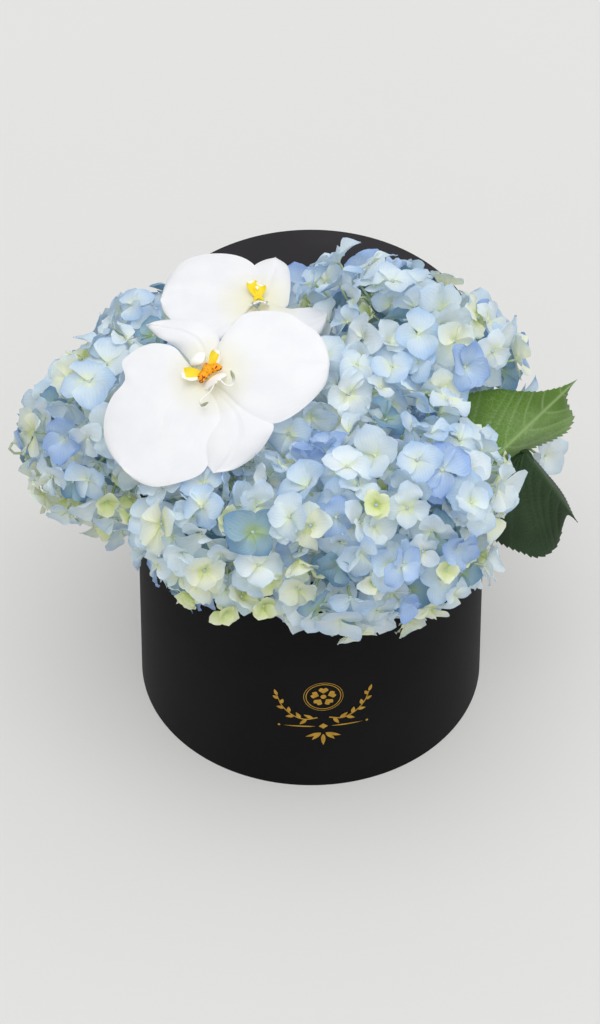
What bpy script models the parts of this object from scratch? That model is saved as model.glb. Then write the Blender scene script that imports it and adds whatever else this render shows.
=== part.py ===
"""A round hat box filled with cut hydrangea heads, two moth orchid blooms and two hydrangea leaves.

Units are metres and +Z is up. The origin is the middle of the box's flat underside, the box's
front faces -Y, and its lid stands on edge right behind it. Stems stand in a block of flower foam.
Each hydrangea head keeps to its own space: a core with florets that stand out of it.
"""

import math
import random
from itertools import product

import bmesh
import bpy
from mathutils import Matrix, Vector
from mathutils.bvhtree import BVHTree

GAP = 0.0003  # between neighbouring pieces

# Box, lid and foam
BOX_RADIUS = 0.090
BOX_HEIGHT = 0.150
BOARD = 0.002  # thickness of the covered board
BOX_SIDES = 48
LID_RADIUS = 0.093
LID_DEPTH = 0.0475
LID_FRONT = BOX_RADIUS + GAP  # the lid's closed face, against the back of the box
LID_BACK = LID_FRONT + LID_DEPTH
FOAM_RADIUS = 0.086
FOAM_TOP = 0.132
HOLE_DEPTH = 0.001  # room under a stem's foot

# Hydrangea heads: middle and radius of each, with where its stem stands in the foam
HEADS = {
    "left": (Vector((-0.098, 0.008, 0.158)), 0.057, Vector((-0.042, 0.004, 0.045))),
    "front_left": (Vector((-0.040, -0.056, 0.154)), 0.057, Vector((-0.020, -0.030, 0.040))),
    "front": (Vector((0.014, -0.066, 0.157)), 0.056, Vector((0.004, -0.038, 0.035))),
    "front_right": (Vector((0.050, -0.044, 0.160)), 0.064, Vector((0.027, -0.024, 0.040))),
    "back_right": (Vector((0.047, 0.041, 0.179)), 0.0645, Vector((0.030, 0.022, 0.040))),
    "back_left": (Vector((-0.058, 0.046, 0.160)), 0.058, Vector((-0.030, 0.036, 0.035))),
    "middle": (Vector((0.006, 0.006, 0.168)), 0.060, Vector((0.003, 0.004, 0.030))),
}
STEM_RADIUS = 0.0032
STEM_SIDES = 10
STEM_TOP = 0.1455  # the stems end just under the rim
STEM_REACH = 0.62  # a stem ends this far from its foot to its head, seen from above
STEM_SPREAD = 1.1  # a stem's foot is wider than its top by this
STALK_RISE = 0.007  # a head's own stalk goes on straight before it bends to the head
CORE_SHARE = 0.66  # of the head's radius
CORE_STEP = 0.0005  # the step in which a core draws back from what is near
OUTWARD_TILT = 0.75  # how far a head leans out over the rim
PLACES_ALL_ROUND = 80  # places tried for a floret, on a whole sphere
CAP_ANGLE = math.radians(124)  # from the head's axis to its last florets
FLORET_SPACING = 1.70  # between florets' middles, in floret radii
FLORET_RADIUS = 0.0175
FLORET_THICK = 0.0011
FLORET_CUP = 0.0035  # how far the sepals' tips stand above the floret's middle
FLORET_LEAN = 0.10  # how unevenly florets look outward
# Degrees and reach of each sepal's corners: two of its blunt end and the notch before the next
SEPAL_CORNERS = ((-24, 1.0), (24, 1.0), (45, 0.46))
COLLAR_TURN = 21  # degrees, so that the pedicel's corners lie between the sepals'
COLLAR_SPREAD = 1.5  # where a pedicel meets its floret, of the pedicel's radius
COLLAR_DROP = 1.6  # the same, in floret thicknesses below the floret's middle
PEDICEL_RADIUS = 0.0013
ROOT_SHARE = 0.55  # pedicels start inside the core, at this share of its radius
HANGING = -0.1  # florets that look lower than this are held from above the rim
HANGING_RISE = 0.12
HANGING_ROOT_SHARE = 0.60
FLORET_SIZES = (1.0, 0.86, 0.72)  # tried in turn where room is short
FLORET_DEPTHS = (0.95, 0.87)  # of the head's radius, tried in turn as well
BOARD_CLEARANCE = 0.0012  # florets and core to box and lid
LIMB_CLEARANCE = 0.0022  # florets to blooms, leaves and stems
CORE_CLEARANCE = 0.0045  # the cores' corners to the same

# Moth orchid blooms: middle, the way each faces, and where its stem stands in the foam
BLOOMS = {
    "front": (Vector((-0.0515, -0.0118, 0.2210)), Vector((-0.12, -0.36, 0.92)),
              Vector((-0.030, -0.006, 0.070))),
    "back": (Vector((-0.0273, 0.0525, 0.2120)), Vector((0.02, -0.02, 0.99)),
             Vector((-0.006, 0.036, 0.070))),
}
# Each tepal's direction in degrees, with length and width
TEPALS = {
    "front": (("petal", 214, 0.068, 0.080), ("petal", 2, 0.064, 0.076), ("sepal", 138, 0.045, 0.032),
              ("sepal", 254, 0.058, 0.038), ("sepal", 283, 0.061, 0.044)),
    "back": (("petal", 155, 0.056, 0.062), ("petal", 338, 0.042, 0.048), ("sepal", 66, 0.038, 0.036),
             ("sepal", 215, 0.040, 0.028), ("sepal", 285, 0.036, 0.028)),
}
TEPAL_THICK = 0.0012
TEPAL_DROOP = {"petal": 0.008, "sepal": 0.010}
TEPAL_ROUNDNESS = {"petal": 0.62, "sepal": 0.80}  # the lower, the blunter both ends
TEPAL_SHOULDER = {"petal": 0.95, "sepal": 0.90}  # the lower, the nearer the hub it is widest
TEPAL_START, TEPAL_END = 0.06, 0.97  # shares of the length that are modelled
TEPAL_LIFT = 0.0012  # petals lie this far above the middle and sepals as far below
HUB_RADIUS = 0.007
HUB_SINK = 0.002
HUB_FLATNESS = 0.7
LIP_TURN = {"front": 118, "back": 80}  # the way the dorsal side points
LIP_LENGTH = 0.016
LIP_WIDTH = 0.012
COLUMN_LENGTH = 0.012
COLUMN_RADIUS = 0.0035
ORCHID_STEM_RADIUS = 0.0018

# Leaves: root of the blade, the way to its tip, the way its face looks, length and width,
# the slopes of its two halves, and the points that its petiole runs through down into the foam
LEAVES = {
    "upper": (Vector((0.0814, -0.0212, 0.1560)), Vector((0.0565, 0.0619, 0.0126)),
              Vector((0.297, -0.447, 0.844)), 0.086, 0.070, (0.55, 1.50),
              (Vector((0.072, -0.019, 0.1535)), Vector((0.063, -0.017, 0.1470)),
               Vector((0.057, -0.015, 0.1360)), Vector((0.054, -0.013, 0.090)))),
    "lower": (Vector((0.1110, 0.0055, 0.1510)), Vector((0.0287, 0.0039, -0.0556)),
              Vector((0.412, -0.905, 0.107)), 0.070, 0.076, (-1.3, 0.05),
              (Vector((0.098, 0.005, 0.1560)), Vector((0.084, 0.004, 0.1570)),
               Vector((0.070, 0.003, 0.1500)), Vector((0.061, 0.002, 0.1360)),
               Vector((0.057, 0.001, 0.090)))),
}
LEAF_THICK = 0.0010
LEAF_ARCH = 0.006  # how far the midrib rises between root and tip
LEAF_SHOULDER = 0.72  # the lower, the nearer the root it is widest
LEAF_ROUNDNESS = 0.85
LEAF_START, LEAF_END = 0.03, 0.98  # shares of the length that are modelled
LEAF_TIP = 0.0008  # half the width that is left at both ends
PETIOLE_RADIUS = 0.0016

SEED = 11


def clear_scene():
    for item in list(bpy.data.objects):
        bpy.data.objects.remove(item)


def finish(name, colour, roughness):
    """A plain material."""
    made = bpy.data.materials.new(name)
    made.use_nodes = True
    shader = made.node_tree.nodes["Principled BSDF"]
    shader.inputs["Base Color"].default_value = (*colour, 1.0)
    shader.inputs["Roughness"].default_value = roughness
    shader.inputs["Metallic"].default_value = 0.0
    return made


def to_object(name, shape, material=None, smooth_angle=None):
    """A new object that takes over a bmesh."""
    bmesh.ops.recalc_face_normals(shape, faces=shape.faces)
    mesh = bpy.data.meshes.new(name)
    shape.to_mesh(mesh)
    shape.free()
    made = bpy.data.objects.new(name, mesh)
    bpy.context.scene.collection.objects.link(made)
    if material:
        mesh.materials.append(material)
    if smooth_angle:
        mesh.shade_smooth()
        mesh.set_sharp_from_angle(angle=smooth_angle)
    return made


def apply_modifiers(item):
    """Replaces an object's mesh by what its modifiers make of it."""
    bpy.context.view_layer.update()
    seen = item.evaluated_get(bpy.context.evaluated_depsgraph_get())
    item.data = bpy.data.meshes.new_from_object(seen)
    item.modifiers.clear()


def subtract(item, cutters):
    """Cuts a list of closed objects out of one and removes them."""
    for cutter in cutters:
        cutter.hide_render = True
        cutter.display_type = "WIRE"
        cut = item.modifiers.new("cut", "BOOLEAN")
        cut.operation = "DIFFERENCE"
        cut.object = cutter
    apply_modifiers(item)
    for cutter in cutters:
        bpy.data.objects.remove(cutter)


def unite(item, others):
    """Joins a list of closed objects to one by a single Boolean union and removes them."""
    group = bpy.data.collections.new(item.name + "_parts")
    bpy.context.scene.collection.children.link(group)
    for other in others:
        bpy.context.scene.collection.objects.unlink(other)
        group.objects.link(other)
    join = item.modifiers.new("join", "BOOLEAN")
    join.operation = "UNION"
    join.operand_type = "COLLECTION"
    join.collection = group
    apply_modifiers(item)
    for other in others:
        bpy.data.objects.remove(other)
    bpy.data.collections.remove(group)


def turned(profile, sides):
    """A closed shape turned round Z from (radius, height) points that start and end on the axis."""
    shape = bmesh.new()
    points = [shape.verts.new((radius, 0.0, height)) for radius, height in profile]
    edges = [shape.edges.new(pair) for pair in zip(points, points[1:])]
    bmesh.ops.spin(shape, geom=points + edges, cent=(0, 0, 0), axis=(0, 0, 1),
                   angle=math.tau, steps=sides, use_merge=True)
    bmesh.ops.remove_doubles(shape, verts=shape.verts, dist=1e-6)
    return shape


def cup(radius, depth):
    """An open cup of covered board, closed at Z = 0."""
    return turned([(0, 0), (radius, 0), (radius, depth), (radius - BOARD, depth),
                   (radius - BOARD, BOARD), (0, BOARD)], BOX_SIDES)


def drum(radius, low, high, sides=BOX_SIDES):
    """A solid cylinder on the Z axis."""
    return turned([(0, low), (radius, low), (radius, high), (0, high)], sides)


def frame_along(direction):
    """Two unit vectors square to a direction."""
    along = direction.normalized()
    helper = Vector((0, 0, 1)) if abs(along.z) < 0.9 else Vector((1, 0, 0))
    across = along.cross(helper).normalized()
    return across, along.cross(across).normalized()


def tube(points, radii, sides):
    """A closed tapered tube through points."""
    shape = bmesh.new()
    rings = []
    for index, (point, radius) in enumerate(zip(points, radii)):
        before = points[max(index - 1, 0)]
        after = points[min(index + 1, len(points) - 1)]
        across, up = frame_along(after - before)
        if rings:
            # Each ring starts nearest the first corner of the ring before it.
            reach = rings[-1][0].co - points[index - 1]
            along = (after - before).normalized()
            across = (reach - along * reach.dot(along)).normalized()
            up = along.cross(across)
        ring = []
        for side in range(sides):
            turn = math.tau * side / sides
            ring.append(shape.verts.new(point + (across * math.cos(turn) + up * math.sin(turn)) * radius))
        rings.append(ring)
    for low, high in zip(rings, rings[1:]):
        for side in range(sides):
            following = (side + 1) % sides
            shape.faces.new((low[side], low[following], high[following], high[side]))
    shape.faces.new(list(reversed(rings[0])))
    shape.faces.new(rings[-1])
    return shape


def plate(rows, thickness):
    """A closed thin plate under a grid of surface points, row after row."""
    shape = bmesh.new()
    count, wide = len(rows), len(rows[0])
    top = [[shape.verts.new(point) for point in row] for row in rows]
    below = []
    for i in range(count):
        line = []
        for j in range(wide):
            lengthwise = rows[min(i + 1, count - 1)][j] - rows[max(i - 1, 0)][j]
            crosswise = rows[i][min(j + 1, wide - 1)] - rows[i][max(j - 1, 0)]
            down = crosswise.cross(lengthwise).normalized()
            line.append(shape.verts.new(rows[i][j] + down * thickness))
        below.append(line)
    for i in range(count - 1):
        for j in range(wide - 1):
            shape.faces.new((top[i][j], top[i + 1][j], top[i + 1][j + 1], top[i][j + 1]))
            shape.faces.new((below[i][j], below[i][j + 1], below[i + 1][j + 1], below[i + 1][j]))
    rim = [(0, j) for j in range(wide - 1)]
    rim += [(i, wide - 1) for i in range(count - 1)]
    rim += [(count - 1, j) for j in range(wide - 1, 0, -1)]
    rim += [(i, 0) for i in range(count - 1, 0, -1)]
    for (i, j), (k, m) in zip(rim, rim[1:] + rim[:1]):
        shape.faces.new((top[i][j], top[k][m], below[k][m], below[i][j]))
    return shape


# ---- Places ----


def bloom_frame(name):
    """A bloom's own axes: X to the right, Y away from the front and Z the way it faces."""
    middle, facing, _ = BLOOMS[name]
    z_axis = facing.normalized()
    x_axis = (Vector((1, 0, 0)) - z_axis * z_axis.x).normalized()
    y_axis = z_axis.cross(x_axis)
    return Matrix.Translation(middle) @ Matrix((x_axis, y_axis, z_axis)).transposed().to_4x4()


def tepal_rows(name, kind, degrees, length, width):
    """Surface points of one tepal, from the bloom's hub to its rounded end."""
    rows = []
    steps, wide = 7, 2
    turn = Matrix.Rotation(math.radians(degrees), 4, "Z")
    place = bloom_frame(name) @ turn
    for i in range(steps + 1):
        share = TEPAL_START + (TEPAL_END - TEPAL_START) * i / steps
        bulge = math.sin(math.pi * share ** TEPAL_SHOULDER[kind])
        half = 0.5 * width * bulge ** TEPAL_ROUNDNESS[kind]
        row = []
        for j in range(wide + 1):
            side = 2 * j / wide - 1
            x = length * share * (1 - 0.05 * side * side)
            z = 0.25 * TEPAL_DROOP[kind] * math.sin(math.pi * share) - TEPAL_DROOP[kind] * share ** 2
            z -= 0.06 * half * side * side
            row.append(place @ Vector((x, half * side, z)))
        rows.append(row)
    return rows


def leaf_rows(name):
    """Surface points of a leaf's blade, from its root to its drawn-out tip, folded on the midrib."""
    root, towards, face, length, width, slopes, _ = LEAVES[name]
    along = towards.normalized()
    up = (face - along * face.dot(along)).normalized()
    across = up.cross(along)
    rows = []
    steps, wide = 9, 4
    for i in range(steps + 1):
        share = LEAF_START + (LEAF_END - LEAF_START) * i / steps
        bulge = math.sin(math.pi * share ** LEAF_SHOULDER)
        half = 0.5 * width * bulge ** LEAF_ROUNDNESS + LEAF_TIP
        rib = root + along * length * share + up * LEAF_ARCH * math.sin(math.pi * share)
        row = []
        for j in range(wide + 1):
            side = 2 * j / wide - 1
            slope = slopes[0] if side > 0 else slopes[1]
            reach = half * side / math.hypot(1, slope)
            row.append(rib + across * reach + up * abs(reach) * slope)
        rows.append(row)
    return rows


def stem_top(name):
    """Where a head's stem ends: on the line from its foot to the head, under the rim."""
    middle, _, foot = HEADS[name]
    flat = foot.lerp(middle, STEM_REACH)
    return Vector((flat.x, flat.y, STEM_TOP))


def bloom_stem_ends(name):
    """Foot and top of an orchid's stem. The top stops just under the bloom's hub."""
    middle, facing, foot = BLOOMS[name]
    back = middle - facing.normalized() * HUB_RADIUS
    return foot, back + (foot - back).normalized() * 0.002


def surface_tree(items):
    """The surfaces of several objects, for finding how near a point is to them."""
    points, faces = [], []
    for item in items:
        first = len(points)
        points += [vertex.co.copy() for vertex in item.data.vertices]
        faces += [[first + corner for corner in face.vertices] for face in item.data.polygons]
    return BVHTree.FromPolygons(points, faces)


def borders(name, point):
    """For each neighbour of a head: how far a point is inside the head's space, and the way in."""
    middle, radius, _ = HEADS[name]
    ours = (point - middle).length_squared - radius ** 2
    for other, (centre, reach, _) in HEADS.items():
        if other != name:
            theirs = (point - centre).length_squared - reach ** 2
            apart = middle - centre
            yield (theirs - ours) / (2 * apart.length), apart.normalized()


def border_distance(name, point):
    """How far a point is inside a head's own space."""
    return min(inside for inside, _ in borders(name, point))


def moved_inside(name, point, reach):
    """A point moved straight away from each border until it is a reach inside."""
    point = point.copy()
    for _ in range(2):
        for inside, inward in list(borders(name, point)):
            if inside < reach:
                point += inward * (reach - inside)
    return point


def clear_of_boards(point):
    """Whether a point is outside the box below its rim, and outside the lid."""
    in_box = math.hypot(point.x, point.y) < BOX_RADIUS + BOARD_CLEARANCE
    if in_box and point.z < BOX_HEIGHT + BOARD_CLEARANCE:
        return False
    in_lid = math.hypot(point.x, point.z - LID_RADIUS) < LID_RADIUS + BOARD_CLEARANCE
    return not (in_lid and LID_FRONT - BOARD_CLEARANCE < point.y < LID_BACK + BOARD_CLEARANCE)


# ---- Box, lid and foam ----


def make_box(material):
    return to_object("hat_box", cup(BOX_RADIUS, BOX_HEIGHT), material, math.radians(30))


def make_lid(material):
    """The lid, standing on its rim with its closed face to the box."""
    shape = cup(LID_RADIUS, LID_DEPTH)
    # A flat facet of the skirt points down, and it touches the ground.
    half_turn = math.pi / BOX_SIDES
    inner = LID_RADIUS * math.cos(half_turn)
    place = Matrix.Translation((0, LID_FRONT, inner)) @ Matrix.Rotation(-math.pi / 2, 4, "X")
    shape.transform(place @ Matrix.Rotation(half_turn, 4, "Z"))
    return to_object("lid", shape, material, math.radians(30))


def make_foam(material, holes):
    block = to_object("foam", drum(FOAM_RADIUS, BOARD + GAP, FOAM_TOP, 32), material, math.radians(30))
    cutters = []
    for index, (points, radius) in enumerate(holes):
        low, high = points[0], points[1]
        down = (low - high).normalized()
        run = [low + down * HOLE_DEPTH, high - down * 0.01]
        bore = tube(run, [radius + GAP] * 2, STEM_SIDES)
        cutters.append(to_object(f"hole_{index}", bore))
    subtract(block, cutters)
    return block


# ---- Hydrangea heads ----


def floret(middle, outward, spin, radius, root):
    """A closed four-lobed floret on a three-sided pedicel that runs back to its root."""
    across, up = frame_along(outward)
    shape = bmesh.new()
    top, bottom = [], []
    for sepal in range(4):
        for degrees, reach in SEPAL_CORNERS:
            turn = spin + math.radians(90 * sepal + degrees)
            side = (across * math.cos(turn) + up * math.sin(turn)) * radius * reach
            place = middle + side + outward * FLORET_CUP * reach ** 2
            top.append(shape.verts.new(place))
            bottom.append(shape.verts.new(place - outward * FLORET_THICK))
    eye = shape.verts.new(middle)
    collar, foot = [], []
    for corner in range(3):
        turn = spin + math.radians(120 * corner + COLLAR_TURN)
        side = across * math.cos(turn) + up * math.sin(turn)
        neck = middle - outward * FLORET_THICK * COLLAR_DROP
        collar.append(shape.verts.new(neck + side * PEDICEL_RADIUS * COLLAR_SPREAD))
        foot.append(shape.verts.new(root + side * PEDICEL_RADIUS))
    count = len(top)
    for i in range(count):
        following = (i + 1) % count
        corner = i // 4
        shape.faces.new((eye, top[i], top[following]))
        shape.faces.new((top[i], bottom[i], bottom[following], top[following]))
        shape.faces.new((bottom[following], bottom[i], collar[corner]))
        if following % 4 == 0:
            shape.faces.new((bottom[following], collar[corner], collar[(corner + 1) % 3]))
    for corner in range(3):
        following = (corner + 1) % 3
        shape.faces.new((collar[corner], foot[corner], foot[following], collar[following]))
    shape.faces.new(foot)
    return shape


def has_room(name, shape, taken):
    """Whether a floret keeps to its head's space and off every board, bloom, leaf and stem."""
    spots = [edge.verts[0].co.lerp(edge.verts[1].co, k / 6) for edge in shape.edges for k in range(7)]
    for spot in spots:
        if border_distance(name, spot) < GAP or not clear_of_boards(spot):
            return False
        if taken.find_nearest(spot)[3] < LIMB_CLEARANCE:
            return False
    return True


def head_axis(name):
    """The way a head faces: up, leaning out over the rim."""
    middle = HEADS[name][0]
    return (Vector((middle.x, middle.y, 0)) / BOX_RADIUS * OUTWARD_TILT + Vector((0, 0, 1))).normalized()


def core_radius(name, direction, taken):
    """How far a head's core reaches along a direction before it meets a neighbour, bloom or leaf."""
    middle, radius, _ = HEADS[name]
    reach = CORE_SHARE * radius
    while reach > CORE_STEP:
        point = middle + direction * reach
        if border_distance(name, point) > 2 * GAP and taken.find_nearest(point)[3] > CORE_CLEARANCE:
            break
        reach -= CORE_STEP
    return reach


def make_core(name, material, limbs, taken):
    """The dense inside of a head, cut clear of box, lid and every stem that passes."""
    middle = HEADS[name][0]
    shape = bmesh.new()
    bmesh.ops.create_icosphere(shape, subdivisions=3, radius=1.0)
    for vertex in shape.verts:
        direction = vertex.co.normalized()
        vertex.co = middle + direction * core_radius(name, direction, taken)
    core = to_object(f"hydrangea_{name}", shape, material, math.radians(50))
    box_room = drum(BOX_RADIUS + BOARD_CLEARANCE, -0.01, BOX_HEIGHT + BOARD_CLEARANCE)
    lid_room = drum(LID_RADIUS + BOARD_CLEARANCE, LID_FRONT - BOARD_CLEARANCE, LID_BACK + BOARD_CLEARANCE)
    lid_room.transform(Matrix.Translation((0, 0, LID_RADIUS)) @ Matrix.Rotation(-math.pi / 2, 4, "X"))
    cutters = [to_object("box_room", box_room), to_object("lid_room", lid_room)]
    for points, radius in limbs:
        near = min((middle - points[k].lerp(points[k + 1], j / 8)).length
                   for k in range(len(points) - 1) for j in range(9))
        if near < CORE_SHARE * HEADS[name][1] + radius:
            channel = tube(points, [radius + 2 * GAP] * len(points), STEM_SIDES)
            cutters.append(to_object("channel", channel))
    subtract(core, cutters)
    return core


def make_head(name, material, limbs, taken, chance):
    """One mophead: its core, its short stalk and the florets that find room."""
    middle, radius, foot = HEADS[name]
    core = make_core(name, material, limbs, taken)
    low = stem_top(name)
    rise = (low - foot).normalized()
    bend = low + rise * STALK_RISE
    stalk = tube([low + rise * GAP, bend, bend.lerp(middle, 0.8)], [STEM_RADIUS] * 3, STEM_SIDES)
    pieces = [to_object("stalk", stalk)]
    axis = head_axis(name)
    across, up = frame_along(axis)
    golden = math.pi * (3 - math.sqrt(5))
    placed = []
    for index in range(PLACES_ALL_ROUND):
        tilt = math.acos(1 - 2 * (index + 0.5) / PLACES_ALL_ROUND)
        spin = chance.uniform(0, math.tau)
        lean = Vector([chance.gauss(0, FLORET_LEAN) for _ in range(3)])
        if tilt > CAP_ANGLE:
            continue
        ring = across * math.cos(golden * index) + up * math.sin(golden * index)
        direction = axis * math.cos(tilt) + ring * math.sin(tilt)
        root = direction * ROOT_SHARE * core_radius(name, direction, taken)
        if direction.z < HANGING:
            level = Vector((direction.x, direction.y, HANGING_RISE)).normalized()
            root = level * HANGING_ROOT_SHARE * core_radius(name, level, taken)
        outward = (direction + lean).normalized()
        for depth, size in product(FLORET_DEPTHS, FLORET_SIZES):
            reach = FLORET_RADIUS * size
            place = moved_inside(name, middle + direction * radius * depth, reach)
            if any((place - other).length < FLORET_SPACING * reach for other in placed):
                continue
            shape = floret(place, outward, spin, reach, middle + root)
            if has_room(name, shape, taken):
                pieces.append(to_object("floret", shape))
                placed.append(place)
                break
            shape.free()
    unite(core, pieces)
    return core


def make_stem(name, material):
    low, high = HEADS[name][2], stem_top(name)
    shape = tube([low, high], [STEM_RADIUS * STEM_SPREAD, STEM_RADIUS], STEM_SIDES)
    return to_object(f"stem_{name}", shape, material, math.radians(50))


# ---- Orchids and leaves ----


def make_bloom(name, material):
    """A moth orchid bloom: five tepals, column and lip, joined at the hub."""
    place = bloom_frame(name)
    hub = bmesh.new()
    bmesh.ops.create_icosphere(hub, subdivisions=2, radius=HUB_RADIUS)
    hub.transform(place @ Matrix.Translation((0, 0, -HUB_SINK)) @ Matrix.Diagonal((1, 1, HUB_FLATNESS, 1)))
    bloom = to_object(f"orchid_{name}", hub, material, math.radians(50))
    pieces = []
    for index, (kind, degrees, length, width) in enumerate(TEPALS[name]):
        rise = TEPAL_LIFT if kind == "petal" else -TEPAL_LIFT
        lift = Matrix.Translation(place.to_3x3() @ Vector((0, 0, rise)))
        shape = plate(tepal_rows(name, kind, degrees, length, width), TEPAL_THICK)
        shape.transform(lift)
        pieces.append(to_object(f"tepal_{index}", shape))
    dorsal = place @ Matrix.Rotation(math.radians(LIP_TURN[name] - 90), 4, "Z")
    column = tube([dorsal @ Vector((0, 0.000, 0.0)), dorsal @ Vector((0, 0.003, 0.7 * COLUMN_LENGTH)),
                   dorsal @ Vector((0, 0.001, COLUMN_LENGTH))],
                  [COLUMN_RADIUS, COLUMN_RADIUS, 0.6 * COLUMN_RADIUS], 8)
    lip = tube([dorsal @ Vector((0, -0.001, 0.001)), dorsal @ Vector((0, -0.5 * LIP_LENGTH, 0.006)),
                dorsal @ Vector((0, -LIP_LENGTH, 0.009))],
               [0.3 * LIP_WIDTH, 0.5 * LIP_WIDTH, 0.2 * LIP_WIDTH], 8)
    pieces += [to_object("column", column), to_object("lip", lip)]
    unite(bloom, pieces)
    return bloom


def make_orchid_stem(name, material):
    low, high = bloom_stem_ends(name)
    shape = tube([low, high], [ORCHID_STEM_RADIUS * STEM_SPREAD, ORCHID_STEM_RADIUS], 8)
    return to_object(f"orchid_stem_{name}", shape, material, math.radians(50))


def make_leaf(name, material):
    """A broad hydrangea leaf with its petiole."""
    root, _, _, _, _, _, route = LEAVES[name]
    blade = to_object(f"leaf_{name}", plate(leaf_rows(name), LEAF_THICK), material, math.radians(50))
    rows = leaf_rows(name)
    rib_start, rib_end = rows[2][2], rows[0][2]
    points = [rib_start, rib_end.lerp(root, 0.5), *route]
    shape = tube(points, [PETIOLE_RADIUS] * len(points), 8)
    unite(blade, [to_object("petiole", shape)])
    return blade


def main():
    clear_scene()
    chance = random.Random(SEED)
    board = finish("matt_black_board", (0.012, 0.011, 0.013), 0.62)
    sponge = finish("flower_foam", (0.035, 0.09, 0.04), 0.95)
    green = finish("green_stem", (0.10, 0.19, 0.05), 0.6)
    blade = finish("green_leaf", (0.09, 0.20, 0.05), 0.5)
    white = finish("white_petal", (0.86, 0.86, 0.88), 0.5)
    blues = {
        "left": (0.52, 0.63, 0.66),
        "front_left": (0.49, 0.62, 0.78),
        "front": (0.48, 0.61, 0.80),
        "front_right": (0.46, 0.58, 0.82),
        "back_right": (0.42, 0.56, 0.84),
        "back_left": (0.44, 0.57, 0.80),
        "middle": (0.47, 0.60, 0.80),
    }
    limbs = []
    for name in BLOOMS:
        limbs.append((list(bloom_stem_ends(name)), ORCHID_STEM_RADIUS * STEM_SPREAD))
    for root, *_, route in LEAVES.values():
        limbs.append(([root, *route], PETIOLE_RADIUS))
    holes = [([HEADS[name][2], stem_top(name)], STEM_RADIUS * STEM_SPREAD) for name in HEADS]
    holes += [(points, radius) for points, radius in limbs[:len(BLOOMS)]]
    holes += [([points[-1], points[-2]], radius) for points, radius in limbs[len(BLOOMS):]]
    make_box(board)
    make_lid(board)
    make_foam(sponge, holes)
    near = [make_stem(name, green) for name in HEADS]
    near += [make_orchid_stem(name, green) for name in BLOOMS]
    near += [make_bloom(name, white) for name in BLOOMS]
    near += [make_leaf(name, blade) for name in LEAVES]
    taken = surface_tree(near)
    for name in HEADS:
        petals = finish(f"sepals_{name}", blues[name], 0.6)
        make_head(name, petals, limbs, taken, chance)


main()
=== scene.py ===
"""The looks of a round hat box of cut hydrangeas, two moth orchid blooms and two hydrangea leaves.

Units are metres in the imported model's frame: +Z is up, the box's front faces -Y and the origin is
the middle of its underside. Colours are given as a screen shows them and made linear by screen().
"""

import math
import random

import bpy
import numpy as np
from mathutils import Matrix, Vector
from mathutils.bvhtree import BVHTree


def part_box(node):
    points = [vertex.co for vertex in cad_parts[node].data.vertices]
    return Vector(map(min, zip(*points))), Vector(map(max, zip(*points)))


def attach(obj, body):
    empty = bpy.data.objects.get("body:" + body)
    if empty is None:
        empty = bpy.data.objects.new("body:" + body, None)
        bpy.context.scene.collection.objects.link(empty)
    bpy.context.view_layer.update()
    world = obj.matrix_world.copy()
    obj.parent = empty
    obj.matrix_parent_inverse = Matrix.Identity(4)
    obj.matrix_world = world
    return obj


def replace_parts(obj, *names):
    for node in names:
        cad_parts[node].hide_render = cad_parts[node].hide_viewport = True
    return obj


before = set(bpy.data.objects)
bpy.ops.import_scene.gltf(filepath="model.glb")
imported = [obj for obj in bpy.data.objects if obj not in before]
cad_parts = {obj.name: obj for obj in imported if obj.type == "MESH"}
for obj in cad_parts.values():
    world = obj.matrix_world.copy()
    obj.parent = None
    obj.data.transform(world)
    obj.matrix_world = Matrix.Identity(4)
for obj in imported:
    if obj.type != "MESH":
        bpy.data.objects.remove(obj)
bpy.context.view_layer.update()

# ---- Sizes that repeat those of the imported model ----

BOX_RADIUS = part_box("hat_box")[1].x
BOX_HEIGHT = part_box("hat_box")[1].z
BOARD = 0.002  # its thickness
LID_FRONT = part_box("lid")[0].y
LID_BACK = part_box("lid")[1].y
LID_RADIUS = 0.093
LID_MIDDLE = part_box("lid")[1].z / 2
FOAM_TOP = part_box("foam")[1].z

# Hydrangea heads: middle and radius of each, and the foot of its stem
HEADS = {
    "left": ((-0.098, 0.008, 0.158), 0.057, (-0.042, 0.004, 0.045)),
    "front_left": ((-0.040, -0.056, 0.154), 0.057, (-0.020, -0.030, 0.040)),
    "front": ((0.014, -0.066, 0.157), 0.056, (0.004, -0.038, 0.035)),
    "front_right": ((0.050, -0.044, 0.160), 0.064, (0.027, -0.024, 0.040)),
    "back_right": ((0.047, 0.041, 0.179), 0.0645, (0.030, 0.022, 0.040)),
    "back_left": ((-0.058, 0.046, 0.160), 0.058, (-0.030, 0.036, 0.035)),
    "middle": ((0.006, 0.006, 0.168), 0.060, (0.003, 0.004, 0.030)),
}
STEM_TOP = 0.1455
STEM_REACH = 0.62  # a stem's top lies this share of the way out from its foot to the head's middle
STEM_RADIUS = 0.0032
STALK_RISE = 0.007
OUTWARD_TILT = 0.75  # how far a head whose middle is over the rim leans out, for one unit up
CAP_ANGLE = math.radians(124)  # florets lie within this angle of the way their head faces
HANGING = -0.1  # pedicels of florets that lie lower than this on a head start beside its middle
HANGING_RISE = 0.12

# Moth orchid blooms: middle and facing
BLOOMS = {
    "front": ((-0.0515, -0.0118, 0.2210), (-0.12, -0.36, 0.92)),
    "back": ((-0.0273, 0.0525, 0.2120), (0.02, -0.02, 0.99)),
}

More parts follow.
